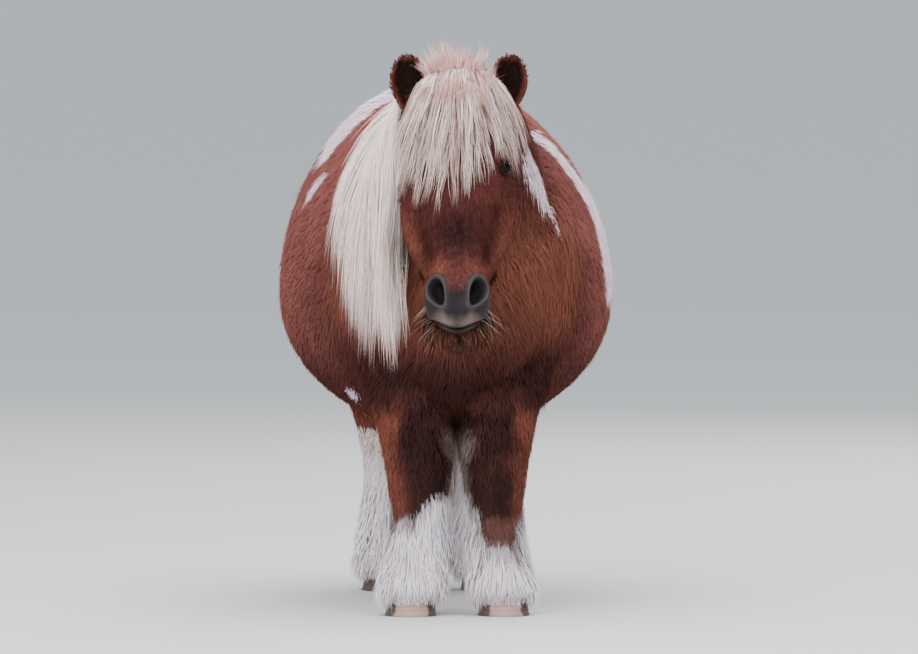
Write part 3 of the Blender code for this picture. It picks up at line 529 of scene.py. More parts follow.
def inside_by(points, corners):
    """How far each point is inside a convex outline in Y and Z, under 0 outside it."""
    corners = np.array(corners)
    middle = corners.mean(axis=0)
    depth = np.full(len(points), 9.0)
    for start, end in zip(corners, np.roll(corners, -1, axis=0)):
        out = unit(np.array((end[1] - start[1], start[0] - end[0])))
        if out @ (start - middle) < 0:
            out = -out
        depth = np.minimum(depth, -((points[:, 1:] - start) @ out))
    return depth


def zones(points):
    """How much each point belongs to head, neck, fore legs and hind legs, from 0 to 1."""
    head = smooth_share(inside_by(points, HEAD_REGION) / 0.03 + 0.5)
    neck = smooth_share(inside_by(points, NECK_REGION) / 0.08 + 0.5) * (1 - head)
    fore = smooth_share(inside_by(points, FORE_LEG_REGION) / 0.06 + 0.5) * (1 - head) * (1 - neck)
    hind = smooth_share(inside_by(points, HIND_LEG_REGION) / 0.06 + 0.5)
    return head, neck, fore, hind


def cheek_share(points):
    _, down, back = head_places(points)
    return rising(back, 0.05, 0.08) * falling(down, 0.34, 0.06)


def breast_share(points, normals):
    """How much each point belongs to the long hair of the breast and the throat."""
    low = falling(points[:, 2], 0.78, 0.16)
    return low * falling(points[:, 1], 0.10, 0.14) * falling(normals[:, 1], 0.25, 0.6)


def coat_depth(points, normals):
    """How deep the coat lies over the skin."""
    head, neck, fore, hind = zones(points)
    _, down, _ = head_places(points)
    breast = breast_share(points, normals)
    depth = COAT_DEPTH + 0.003 * breast
    depth += (NECK_DEPTH - depth) * neck * (1 - breast)
    depth += (LEG_DEPTH + 0.0065 * rising(points[:, 2], *LEG_GROWS) - depth) * np.maximum(fore, hind)
    face = FACE_DEPTH + 0.0060 * cheek_share(points)
    face *= 1 - 0.7 * rising(down, *FACE_THINS)
    return depth + (face - depth) * head


# The head's fine forms


def eye_frame(side):
    """The eye's place on the skin, with its outward, lengthwise and upward directions."""
    place = on_side(side, EYE_PLACE)
    out = (Vector((side * 0.79, 0, 0)) - FACE_BACK * 0.61).normalized()
    along = (FACE_BACK * 0.84 + Vector((side * 0.5, 0, 0)) + FACE_DOWN * -0.20).normalized()
    up = out.cross(along).normalized()
    if up.z < 0:
        up = -up
    along = (along - out * along.dot(out)).normalized()
    return place, out, along, up


def nostril_frame(side):
    """The nostril's place on the skin, with its outward, crosswise and lengthwise directions."""
    place = on_side(side, NOSTRIL_PLACE)
    out = (Vector((side * 0.52, 0, 0)) - FACE_BACK * 0.85).normalized()
    long = (FACE_DOWN + Vector((-side * 0.52, 0, 0))).normalized()
    wide = out.cross(long).normalized()
    long = wide.cross(out).normalized()
    return place, out, wide, long


def line_distance(points, start, end):
    """How far each (down, back) point is from the line between two places."""
    start, end = np.array(start), np.array(end)
    along = end - start
    t = np.clip((points - start) @ along / (along @ along), 0, 1)
    return np.linalg.norm(points - start - t[:, None] * along, axis=1)


def from_mouth(points):
    """How far each point is below the line of the mouth, which rises a little towards its corners."""
    across, down, back = head_places(points)
    slit_along = np.array(MOUTH_CORNER) - np.array(MOUTH_FRONT)
    slit_out = np.array((slit_along[1], -slit_along[0])) / np.linalg.norm(slit_along)
    return (np.column_stack([down, back]) - np.array(MOUTH_FRONT)) @ slit_out + 3.2 * across**2


def almond(du, dv):
    """Under 1 inside the opening of the lids."""
    half = LID_HALF_HEIGHT * np.clip(1 - (du / LID_HALF_LENGTH) ** 2, 0.0, 1) ** 0.8
    return np.where(np.abs(du) < LID_HALF_LENGTH, np.abs(dv) / np.maximum(half, 1e-5), 9.0)


def nostril_reach(du, dv):
    """How far each place is from a nostril's middle, 1 at its rim."""
    swell = 1 - 0.25 * np.clip(dv / NOSTRIL_HALF[1], -1, 1)
    return np.sqrt((du / NOSTRIL_HALF[0] / swell) ** 2 + (dv / NOSTRIL_HALF[1]) ** 2)


def round_nostril(points, side):
    """How far each point is from this nostril's middle, 1 at its rim, and which points are near it."""
    middle, _, wide, long = map(np.array, nostril_frame(side))
    reach = points - middle
    return nostril_reach(reach @ wide, reach @ long), np.linalg.norm(reach, axis=1) < 0.05


def shape_head(obj):
    """Brow, lids, face bones, nostrils, lips and chin, pressed into and raised from the plain head."""
    mesh = obj.data
    points, normals = points_of(mesh), points_of(mesh, "normal")
    across, down, back = head_places(points)
    across = np.abs(across)
    place = np.column_stack([down, back])
    from_slit = from_mouth(points)

    def ridge(height, start, end, width):
        return height * bump(line_distance(place, start, end), width)

    # Cheek bone, hollow before it, chin, hollow behind it and the groove of the upper lip
    raise_by = ridge(0.0050, (0.165, 0.066), (0.290, 0.052), 0.010) * (across > 0.035)
    raise_by -= ridge(0.0050, (0.225, 0.026), (0.320, 0.030), 0.012) * (across > 0.020)
    raise_by += ridge(0.0060, (0.408, 0.104), (0.420, 0.096), 0.014) * bump(across, 0.03)
    raise_by -= ridge(0.0050, (0.368, 0.118), (0.376, 0.116), 0.012) * bump(across, 0.04)
    groove = bump(line_distance(place, (0.395, 0.0), (0.425, 0.01)), 0.012)
    raise_by -= 0.0040 * bump(across, 0.010) * groove
    lips = (back < MOUTH_CORNER[1]) & (down > 0.37)
    raise_by += 0.0022 * bump(np.abs(from_slit) - 0.0075, 0.0045) * lips
    raise_by -= 0.0065 * bump(from_slit, 0.0016) * lips * falling(back, MOUTH_CORNER[1], 0.012)
    moved = points + normals * raise_by[:, None]
    narrow = 0.09 * rising(down, 0.335, 0.03) - 0.62 * rising(down, 0.388, 0.052)
    narrow += 0.07 * bump(down - 0.265, 0.055)
    narrow *= falling(back, 0.150, 0.03) * (inside_by(points, HEAD_REGION) > 0)
    moved[:, 0] += head_places(points)[0] * narrow
    for side in (-1, 1):
        middle, out, along, up = map(np.array, eye_frame(side))
        ball_middle = middle - out * EYE_SUNK
        reach = moved - middle
        du, dv, depth = reach @ along, reach @ up, reach @ out
        near = np.abs(depth) < 0.03
        lift = 0.0070 * bump(np.sqrt((du / 1.6) ** 2 + (dv - 0.026) ** 2), 0.012)
        lift -= 0.0030 * bump(np.sqrt((du / 1.5) ** 2 + (dv - 0.046) ** 2), 0.012)
        lift -= 0.0030 * bump(np.hypot(du / 1.4, dv + 0.026), 0.008)
        moved += (lift * near)[:, None] * out
        from_ball = moved - ball_middle
        distance = np.linalg.norm(from_ball, axis=1)
        ahead = from_ball @ out
        lid = EYE_RADIUS + LID_THICKNESS
        wanted = np.where((ahead > 0) & (distance < lid), lid, distance)
        sideways = np.linalg.norm(from_ball - ahead[:, None] * out, axis=1)
        over = (ahead > 0) & (sideways < EYE_RADIUS) & (distance > lid)
        wanted = np.where(over, lid + (distance - lid) * 0.3, wanted)
        crease = almond(du * 0.82, (dv - 0.001) * 0.70)
        folded = (ahead > 0) & (sideways < EYE_RADIUS * 1.1) & (dv > 0)
        wanted = wanted - 0.0014 * bump(crease - 1.0, 0.12) * folded
        opened = (ahead > 0) & (distance < 0.04) & (almond(du, dv) < 1)
        wanted = np.where(opened, EYE_RADIUS - 0.0022, wanted)
        moved = ball_middle + from_ball * (wanted / distance)[:, None]
        middle, out, wide, long = map(np.array, nostril_frame(side))
        reach = moved - middle
        du, dv, depth = reach @ wide, reach @ long, reach @ out
        near = np.abs(depth) < 0.03
        r = nostril_reach(du, dv)
        lift = 0.0048 * bump(r - 1.28, 0.26) - NOSTRIL_DEPTH * np.clip(1 - r * r, 0, 1) ** 0.7
        moved += (lift * near)[:, None] * out
    mesh.vertices.foreach_set("co", moved.ravel())
    mesh.update()


def fine_places(points, level):
    """Which points need smaller faces: the head first, then the face, then eyes, nostrils and lips."""
    _, down, back = head_places(points)
    if level == 0:
        return inside_by(points, HEAD_REGION) > -0.02
    if level == 1:
        return (inside_by(points, HEAD_REGION) > 0) & (down > 0.06) & (back < 0.090)
    eyes = np.zeros(len(points), bool)
    for side in (-1, 1):
        eyes |= np.linalg.norm(points - np.array(eye_frame(side)[0]), axis=1) < 0.030
        eyes |= np.linalg.norm(points - np.array(nostril_frame(side)[0]), axis=1) < 0.036
    mouth = (np.abs(from_mouth(points)) < 0.012) & (down > 0.37) & (back < MOUTH_CORNER[1] + 0.01)
    return eyes | mouth


def refined(obj):
    """The object with smaller faces where the forms are fine."""
    bm = bmesh.new()
    bm.from_mesh(obj.data)
    for level in range(3):
        bm.verts.ensure_lookup_table()
        inside = fine_places(np.array([vert.co for vert in bm.verts]), level)
        edges = [e for e in bm.edges if inside[e.verts[0].index] and inside[e.verts[1].index]]
        bmesh.ops.subdivide_edges(bm, edges=edges, cuts=1, use_grid_fill=True)
        bm.verts.index_update()
        inside = fine_places(np.array([vert.co for vert in bm.verts]), level)
        soft = [vert for vert, near in zip(bm.verts, inside) if near]
        for _ in range(2):
            bmesh.ops.smooth_vert(
                bm, verts=soft, factor=0.5, use_axis_x=True, use_axis_y=True, use_axis_z=True)
    bmesh.ops.triangulate(bm, faces=bm.faces)
    bm.to_mesh(obj.data)
    bm.free()
    return obj


def ear_swell(v):
    """The ear's width at this share of its length, as a share of its widest."""
    above = np.clip(1 - ((v - EAR_WIDEST) / 0.46) ** 2, 0.08, 1) ** 0.5
    below = 1 - 1.1 * np.clip(EAR_WIDEST - v, 0, 1) ** 1.4 / EAR_WIDEST
    return np.where(v > EAR_WIDEST, above, below)


def ear_form(side):
    """A cupped leaf with a wall, open at the front."""
    base = on_side(side, EAR_PLACE)
    up = Vector((side * 0.10, 0.06, 1.0)).normalized()
    ahead = Vector((side * 0.20, -1.0, 0.0))
    ahead = (ahead - up * ahead.dot(up)).normalized()
    across = up.cross(ahead)
    levels = 26

    def place(level, cosine, sine):
        v = level / levels
        swell = float(ear_swell(v))
        outside = sine >= -1e-6
        shrink = 0.0 if outside else EAR_WALL * (0.2 + 0.8 * swell)
        share = math.degrees(math.acos(max(-1.0, min(1.0, cosine)))) / 180 * 2 - 1
        turn = math.radians(118) * (1 - 0.20 * v) * share
        width = EAR_HALF_WIDTH * swell - shrink
        depth = EAR_DEPTH * swell * (1 - 0.40 * v) - shrink
        middle = base + up * (EAR_LENGTH * v - EAR_SUNK) + ahead * 0.012 * v * v
        return middle + across * width * math.sin(turn) - ahead * depth * math.cos(turn)

    return wrapped("ear_form", levels, 56, place)


def hoof_form(name, x, y):
    """A hoof with a sloping coronet, faint growth rings and a hollow sole."""
    levels = 20

    def place(level, cosine, sine):
        share = level / levels
        half_width, toe, heel = (a + (b - a) * share for a, b in zip(HOOF_GROUND, HOOF_TOP))
        reach = heel if sine > 0 else toe
        ridge = 1 - 0.012 * (0.5 + 0.5 * math.cos(share * 34)) * (share > 0)
        toe_share = 0.5 - 0.5 * sine
        height = share * (HOOF_HEIGHT[1] + (HOOF_HEIGHT[0] - HOOF_HEIGHT[1]) * toe_share)
        return Vector((x + half_width * ridge * cosine, y + share * 0.006 + reach * ridge * sine, height))

    obj = wrapped(name, levels, 96, place)
    bm = bmesh.new()
    bm.from_mesh(obj.data)
    bm.normal_update()
    sole = min(bm.faces, key=lambda face: face.calc_center_median().z)
    bmesh.ops.inset_region(bm, faces=[sole], thickness=0.010, use_even_offset=True)
    for vert in sole.verts:
        vert.co.z += 0.003
    bm.to_mesh(obj.data)
    bm.free()
    return obj


# Lie and colours of the coat


def lie_of(points, normals):
    """The direction in which the hair lies at each place."""
    head, neck, fore, hind = zones(points)
    x, y, _ = points.T
    side = np.clip(x / 0.05, -1, 1)
    _, _, back = head_places(points)
    count = len(points)

    def way(*vector):
        return np.column_stack([np.broadcast_to(v, count) for v in vector])

    belly = rising(-normals[:, 2], 0.2, 0.6)
    lie = way(0, 0.80, -0.62 + 0.3 * belly)
    lie = between(lie, way(side * 0.15, 0.30, -0.95), rising(y, 0.58, 0.16))
    lie = between(lie, way(side * 0.42, 0.05, -0.9), breast_share(points, normals))
    lie = between(lie, way(side * 0.25, 0.42, -0.85), neck)
    lie = between(lie, way(side * 0.08, 0.14, -1.0), np.maximum(fore, hind))
    cheek = rising(back, 0.03, 0.09)[:, None]
    face = np.array(FACE_DOWN) * (1 - 0.35 * cheek) + np.array(FACE_BACK) * (0.10 + 0.75 * cheek)
    face = face + way(np.clip(x / 0.03, -1, 1) * 0.28, 0, 0)
    lie = between(lie, face, head)
    swirl = np.column_stack([noise(points, 11, seed) for seed in (41, 42, 43)])
    return flattened(unit(lie) + swirl * 0.16, normals)


# White patches: middle, radii
PATCHES = (
    ((0.275, 0.410, 0.640), (0.100, 0.200, 0.100)),
    ((-0.162, 0.165, 0.390), (0.011, 0.030, 0.022)),
    ((0.000, 0.480, 0.300), (0.110, 0.110, 0.050)),
)
# White bands: places along each, with the band's radius there
BANDS = (
    ((0.128, 0.030, 0.815, 0.016), (0.144, 0.075, 0.797, 0.026), (0.192, 0.145, 0.752, 0.034),
     (0.228, 0.215, 0.704, 0.052), (0.246, 0.240, 0.652, 0.066), (0.258, 0.260, 0.598, 0.064),
     (0.264, 0.300, 0.545, 0.014)),
    ((0.100, -0.195, 0.795, 0.018), (0.116, -0.146, 0.761, 0.024), (0.128, -0.110, 0.734, 0.020),
     (0.140, -0.074, 0.706, 0.008), (0.150, -0.060, 0.672, 0.002)),
    ((-0.020, 0.540, 0.880, 0.130), (-0.080, 0.500, 0.865, 0.120), (-0.110, 0.470, 0.845, 0.090),
     (-0.136, 0.450, 0.826, 0.060), (-0.160, 0.380, 0.803, 0.058), (-0.175, 0.340, 0.788, 0.042),
     (-0.184, 0.310, 0.774, 0.012)),
    ((-0.228, 0.262, 0.709, 0.011), (-0.212, 0.235, 0.724, 0.021), (-0.192, 0.190, 0.742, 0.009)),
)


def band_reach(points, band):
    """How far each place is from a band's middle line, as a share of the band's radius there."""
    found = np.full(len(points), 9.0)
    for start, end in zip(band, band[1:]):
        start, end = np.array(start), np.array(end)
        along = end[:3] - start[:3]
        share = np.clip((points - start[:3]) @ along / (along @ along), 0, 1)
        away = np.linalg.norm(points - start[:3] - share[:, None] * along, axis=1)
        found = np.minimum(found, away / (start[3] + (end[3] - start[3]) * share))
    return found


def markings(points, normals):
    """The colour of the coat at each place, with painted sheen on the flanks, painted shade on the chest,
    belly, lower sides, legs and fore legs' inner sides, and painted rim light on the legs' outer sides.
    """
    head, neck, fore, hind = zones(points)
    x, y, z = points.T
    off, behind, legs = np.abs(x), y > HIND_PART, np.maximum(fore, hind)
    broad, small, fine = noise(points, 7, 1), noise(points, 26, 2), noise(points, 90, 3)
    high = rising(z, 0.60, 0.10)
    # Painted sheen: the flanks and upper sides are taken to a paler mauve, the coat's colour with the sheen
    # of its hair painted in
    flank_and_sheen = smooth_share((y + 0.02 + 0.14 * high) / 0.22) * (1 - head) * (1 - 0.5 * neck)
    fiery = breast_share(points, normals) * smooth_share((z - 0.44 + 0.05 * broad) / 0.14)
    # Painted shade: the lower front of the chest is darkened, as it lies in shade under the light from
    # above
    low = smooth_share((0.54 - z + 0.03 * broad) / 0.15) * falling(off, 0.27, 0.14)
    # Painted shade: wherever the skin faces down, the belly most, it is darkened
    belly = rising(-normals[:, 2], 0.05, 0.55) * falling(z, 0.50, 0.12) * (1 - head)
    # Painted shade: the lower sides are taken darker towards the bottom
    low_side_shade = falling(z, 0.57, 0.18) * smooth_share(y / 0.08) * (1 - head)
    # Painted shade on the inner sides of the fore legs, where they face each other
    inner_leg_shade = fore * falling(z, 0.36, 0.08) * smooth_share((0.100 - off + 0.012 * small) / 0.030)
    # Painted rim light: the outer sides of the legs are lighter, as the fuzz at their outline catches the
    # light
    rim = smooth_share((off - 0.078 + 0.012 * small) / 0.036) * falling(z, 0.44, 0.12)
    colour = painted(
        same_for(points, CHESTNUT),
        (FLANK_COAT_AND_SHEEN, flank_and_sheen),
        (FIERY, 0.55 * fiery * (1 - head)),
        (PAINTED_SHADE_COAT, 0.92 * low * falling(y, 0.12, 0.1) * (1 - head)),
        (BELLY_SHADE_COAT, 0.85 * belly),
        (LOW_FLANK_SHADE, 0.65 * low_side_shade),
        # painted shade: the legs a little darker overall
        (PAINTED_SHADE_COAT, 0.35 * legs),
        (LEG_RUST, 0.35 * legs * smooth_share(0.5 + small + 0.6 * fine)),
        (INNER_LEG_SHADE_COAT, 0.75 * inner_leg_shade),
        (LEG_RIM_LIGHT, 0.65 * rim * legs),
    )
    # White patches and bands, with ragged edges
    white = np.zeros(len(points))
    for middle, radii in PATCHES:
        reach = np.linalg.norm((points - np.array(middle)) / np.array(radii), axis=1)
        reach = reach + 0.16 * broad + 0.12 * small + 0.05 * fine
        white = np.maximum(white, smooth_share((1 - reach) / 0.14 + 0.5))
    for band in BANDS:
        reach = band_reach(points, band) + 0.16 * small + 0.12 * fine
        white = np.maximum(white, smooth_share((1 - reach) / 0.30 + 0.5))
    # Socks, their dips in front, and the pale hair on the inner side of the legs
    ragged = 0.012 * broad + 0.010 * small + 0.004 * fine
    front = falling(y, 0.012, 0.03)
    middle = rising(off, 0.014, 0.018) * falling(off, 0.120, 0.016)
    lower = rising(x, 0.034, 0.016) * falling(x, 0.106, 0.016)
    slope = np.where(x < 0, 1.15 - smooth_share((x + 0.078) / 0.045), 1.0)
    sock = FORE_SOCK + ragged - 0.036 * front * middle * slope - 0.042 * front * lower
    sock = np.where(behind, np.where(x < 0, *HIND_SOCKS) + ragged, sock)
    socks = smooth_share((sock - z) / 0.012 + 0.5) * legs
    wide = 0.027 + 0.020 * rising(z, 0.26, 0.05)
    inner = smooth_share((wide - off + 0.006 * small) / 0.020) * falling(z, 0.343, 0.04)
    pale = inner * legs * (0.80 - 0.42 * rising(z, 0.26, 0.04))
    colour = painted(
        colour,
        (SHIN_BROWN, 0.7 * front * lower * falling(z, 0.180, 0.016) * legs),
        (PALE_COAT, pale * (1 - 0.4 * smooth_share(0.5 + 2 * fine))),
        (PATCH_COAT, white),
        (WHITE_COAT, socks),
        (STOCKING_CREAM, 0.7 * socks * rising(z, 0.20, 0.06) * behind),
    )
    ears = rising(z, 0.915, 0.02) * rising(off, 0.045, 0.012)
    poll = head * bump(off, 0.045) * falling(head_places(points)[1], 0.035, 0.03)
    colour = painted(on_face(colour, points, head), (EAR_ROOT, ears * head), (ROSY, 0.8 * poll))
    shade = 1 + 0.10 * broad + 0.10 * small + 0.06 * fine
    mottled = 0.20 * noise(points, 150, 17) + 0.10 * noise(points, 330, 18)
    shade += head * mottled * (1 - muzzle_share(points))
    return np.clip(colour * shade[:, None], 0, 1)


def muzzle_share(points):
    """How bare each place on the muzzle is, round the nostrils and on the lips."""
    _, down, back = head_places(points)
    bare = smooth_share((down - 0.380 + 0.004 * noise(points, 60, 6)) / 0.010 + 0.5)
    bare *= falling(back, 0.070, 0.02) * falling(from_mouth(points), 0.006, 0.004)
    for side in (-1, 1):
        r, near = round_nostril(points, side)
        bare = np.maximum(bare, smooth_share((1.75 - r + 0.15 * noise(points, 90, 8)) / 0.35) * near)
    return bare


def on_face(colour, points, head):
    """The face's colours, down to the dark nostrils and pale lips, with painted shade in the cheek's
    hollow, inside the nostrils and in the mouth line, and painted sheen on the nostrils' rims.
    """
    across, down, back = head_places(points)
    side, small = np.abs(across), noise(points, 60, 5)
    from_slit, below = from_mouth(points), down > 0.385
    # Painted shade along the hollow below the cheek bone
    hollow = bump(line_distance(np.column_stack([down, back]), (0.22, 0.030), (0.30, 0.034)), 0.010)
    face = painted(
        same_for(points, FACE_COAT),
        (FACE_DARK, 0.95 * bump(down - 0.268, 0.055) * bump(side, 0.042) * (back < 0.05)),
        (FIERY, 0.36 * bump(np.hypot(down - 0.328, side - 0.032), 0.018) * (back < 0.06)),
        (FIERY, 0.32 * rising(side, 0.046, 0.016) * bump(down - 0.285, 0.070)),
        (NOSE_BROWN, 0.85 * rising(down, 0.355, 0.02) * bump(side, 0.030)),
        (FIERY, 0.6 * rising(back, 0.08, 0.04) * rising(down, 0.28, 0.05)),
        (CHEEK_HOLLOW_SHADE, 0.8 * hollow * (side > 0.04)),
        (CHIN_BROWN, smooth_share(from_slit / 0.003) * below),
    )
    pale = smooth_share((down - 0.413 + 0.004 * small + 0.010 * rising(side, 0.012, 0.015)) / 0.018)
    grey = painted(
        same_for(points, MUZZLE_GREY),
        (MUZZLE_DARK, 0.8 * bump(side, 0.016)),
        (LIP_PALE, pale * (0.85 + 0.15 * small) * (1 - 0.75 * bump(side, 0.012))),
        (LOWER_LIP, rising(from_slit, 0.001, 0.003) * below),
        # painted shade in the mouth line
        (SHADE_BLACK, bump(from_slit, 0.0024) * (down > 0.38) * (back < MOUTH_CORNER[1])),
    )
    for s in (-1, 1):
        r, near = round_nostril(points, s)
        # Painted sheen on each nostril's rim, and painted shade inside it
        rim, inside = 0.8 * bump(r - 1.26, 0.17) * near, falling(r, 1.05, 0.25) * near
        grey = painted(grey, (NOSTRIL_RIM_SHEEN, rim), (SHADE_BLACK, inside))
    face = between(face, grey, muzzle_share(points))
    for s in (-1, 1):
        away = np.linalg.norm(points - np.array(eye_frame(s)[0]), axis=1)
        face = painted(face, (LID_BROWN, bump(away, 0.016) ** 2))
    return between(colour, face, head)


def ear_colours(points, normals):
    """Rusty outside and round the rim, and nearly black in the cup, its darker skin with painted shade on
    it.
    """
    side = np.sign(points[:, 0])
    base = on_side(1, EAR_PLACE)
    v = (points[:, 2] - base.z + EAR_SUNK) / EAR_LENGTH
    middle = side * (EAR_PLACE[0] + 0.10 * (v * EAR_LENGTH - EAR_SUNK))
    off = np.abs(points[:, 0] - middle) / (EAR_HALF_WIDTH * ear_swell(v))
    # Painted shade: the cup that faces forward is taken nearly black
    inner = rising(-normals[:, 1], 0.35, 0.25) * (1 - rising(off, 0.74, 0.18))
    inner *= 1 - rising(v, 0.89, 0.08)
    return painted(same_for(points, EAR_RUST), (EAR_CUP_SHADE, inner))


# Hair as joined meshes


# How many places are drawn for each cell, of which one stays
DRAWS_PER_CELL = 1.9


class Skin:
    """The skin's triangles, for spreading hair over it and finding what lies near a point."""

    def __init__(self, obj):
        mesh = obj.data
        mesh.calc_loop_triangles()
        self.points, self.normals = points_of(mesh), points_of(mesh, "normal")
        corners = np.empty(len(mesh.loop_triangles) * 3, np.int64)
        mesh.loop_triangles.foreach_get("vertices", corners)
        self.triangles = corners.reshape(-1, 3)
        a, b, c = (self.points[self.triangles[:, k]] for k in range(3))
        self.areas = 0.5 * np.linalg.norm(np.cross(b - a, c - a), axis=1)
        self.middles = (a + b + c) / 3
        self.tree = BVHTree.FromPolygons(self.points.tolist(), self.triangles.tolist())

    def spread(self, spacing, wanted, seed):
        """Places about this far apart over the triangles that wanted(middles) picks, with their normals."""
        lots = np.random.default_rng(seed)
        picked = np.flatnonzero(wanted(self.middles))
        areas = self.areas[picked]
        count = int(areas.sum() / spacing**2 * DRAWS_PER_CELL)
        chosen = picked[np.searchsorted(np.cumsum(areas), lots.random(count) * areas.sum())]
        u, v = lots.random(count), lots.random(count)
        flip = u + v > 1
        u, v = np.where(flip, 1 - u, u), np.where(flip, 1 - v, v)
        weights = np.column_stack([1 - u - v, u, v])[:, :, None]
        places = (self.points[self.triangles[chosen]] * weights).sum(axis=1)
        normals = unit((self.normals[self.triangles[chosen]] * weights).sum(axis=1))
        _, first = np.unique(cells_of(places, spacing), return_index=True)
        return places[first], normals[first]


def unrolled(origin, along, up, span, ball_radius):
    """A function that unwraps the skin round an axis, from 0 to 1 each way, its ends unrolled outwards."""
    origin, along, up = (np.array(v, float) for v in (origin, along, up))
    across = np.cross(along, up)
    low, high = span[0] - ball_radius, span[1] + ball_radius

    def place_of(points):
        away = points - origin
        turn = np.arctan2(away @ across, away @ up)
        length = away @ along
        radius = np.hypot(away @ across, away @ up)
        ends = np.clip(ball_radius - radius, 0, None)
        length = length + np.where(length > (span[0] + span[1]) / 2, ends, -ends)
        found = np.column_stack([turn / (2 * math.pi) + 0.5, (length - low) / (high - low)])
        return 0.01 + 0.98 * np.clip(found, 0, 1)

    return place_of


# How far a tuft's patch reaches on the unwrap
PATCH = 0.003


def hair_mesh(name, paths, outs, facing, widths, thickness, colours, places, taper, tones, finish,
              nodes=()):
    """One object of flat, closed strands along these paths, pointed at both ends and ridged on the outside.

    paths is (strands, points, 3) from root to tip, outs says which way is off the skin, and facing is how
    round a strand is lit and the way it faces."""
    strands, points = paths.shape[:2]
    rings = points - 2
    along = unit(np.gradient(paths, axis=1))
    outs = unit(outs - along * np.sum(outs * along, axis=2, keepdims=True))
    across = np.cross(along, outs)[:, 1:-1]
    half = (0.5 * widths[:, None] * taper[None])[..., None]
    rise = outs[:, 1:-1] * half * thickness
    base, side = paths[:, 1:-1], across * half
    corners = np.stack([base + side - rise * 0.5, base + rise, base - side - rise * 0.5], axis=2)
    verts = np.concatenate([paths[:, :1], corners.reshape(strands, rings * 3, 3), paths[:, -1:]], axis=1)
    each = rings * 3 + 2
    quads, tris = [], []
    for c in range(3):
        d = (c + 1) % 3
        tris.append((0, 1 + d, 1 + c))
        tris.append((3 * rings - 2 + c, 3 * rings - 2 + d, each - 1))
        for j in range(rings - 1):
            quads.append((3 * j + 1 + c, 3 * j + 1 + d, 3 * j + 4 + d, 3 * j + 4 + c))
    first = verts[0] - verts[0].mean(axis=0)
    volume = sum(np.dot(first[a], np.cross(first[b], first[c])) for a, b, c in tris)
    if volume < 0:
        quads = [face[::-1] for face in quads]
        tris = [face[::-1] for face in tris]
    starts = (np.arange(strands) * each)[:, None, None]
    loops = [(starts + np.array(kind)[None]).reshape(strands, -1) for kind in (quads, tris) if kind]
    loop_verts = np.concatenate(loops, axis=1).ravel()
    sizes = np.tile(np.array([4] * len(quads) + [3] * len(tris)), strands)
    mesh = bpy.data.meshes.new(name)
    mesh.vertices.add(strands * each)
    mesh.vertices.foreach_set("co", in_frame(verts).ravel())
    mesh.loops.add(len(loop_verts))
    mesh.loops.foreach_set("vertex_index", loop_verts)
    mesh.polygons.add(len(sizes))
    mesh.polygons.foreach_set("loop_start", np.concatenate([[0], np.cumsum(sizes)[:-1]]))
    mesh.polygons.foreach_set("loop_total", sizes)
    mesh.polygons.foreach_set("use_smooth", np.ones(len(sizes), bool))
    steps = np.concatenate([[0], np.repeat(np.arange(1, rings + 1), 3), [rings + 1]])
    sideways = np.concatenate([[0.5], np.tile((0.0, 0.5, 1.0), rings), [0.5]])
    tint = np.ones((strands, each, 4))
    tint[..., :3] = np.clip(colours[:, None, :] * tones[steps][None, :, None], 0, 1)
    mesh.attributes.new("tint", "FLOAT_COLOR", "POINT").data.foreach_set("color", tint.ravel())
    own = np.column_stack([sideways, steps / (rings + 1)])
    patch = places[:, None, :] + (own[None] - 0.5) * PATCH
    mesh.uv_layers.new(name="OFBake").data.foreach_set("uv", patch.reshape(-1, 2)[loop_verts].ravel())
    strand = own[None] + np.random.default_rng(strands).uniform(0, 50, (strands, 1, 2))
    mesh.uv_layers.new(name="strand").data.foreach_set("uv", strand.reshape(-1, 2)[loop_verts].ravel())
    mesh.uv_layers.active_index = 0
    roundness, faced = facing
    tilt = across * roundness
    middle = faced[:, 1:-1]
    ways = np.stack([middle + tilt, middle, middle - tilt], axis=2).reshape(strands, rings * 3, 3)
    ways = unit(np.concatenate([faced[:, :1], ways, faced[:, -1:]], axis=1))
    mesh.attributes.new("custom_normal", "FLOAT_VECTOR", "POINT").data.foreach_set("vector", ways.ravel())
    mesh.update(calc_edges=True)
    obj = added(name, mesh)
    mesh.materials.append(finish)
    dressed(obj, nodes)


def dressed(obj, nodes=()):
    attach(obj, "root")
    if nodes:
        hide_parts(*nodes)


def between_legs(points):
    """How much each place faces the other leg, where the coat stands out and closes the gap."""
    x, _, z = points.T
    return bump(x, 0.032) * falling(z, 0.40, 0.06) * rising(z, 0.10, 0.06)


# How far apart the middles are towards which tufts gather
GATHER = 0.016


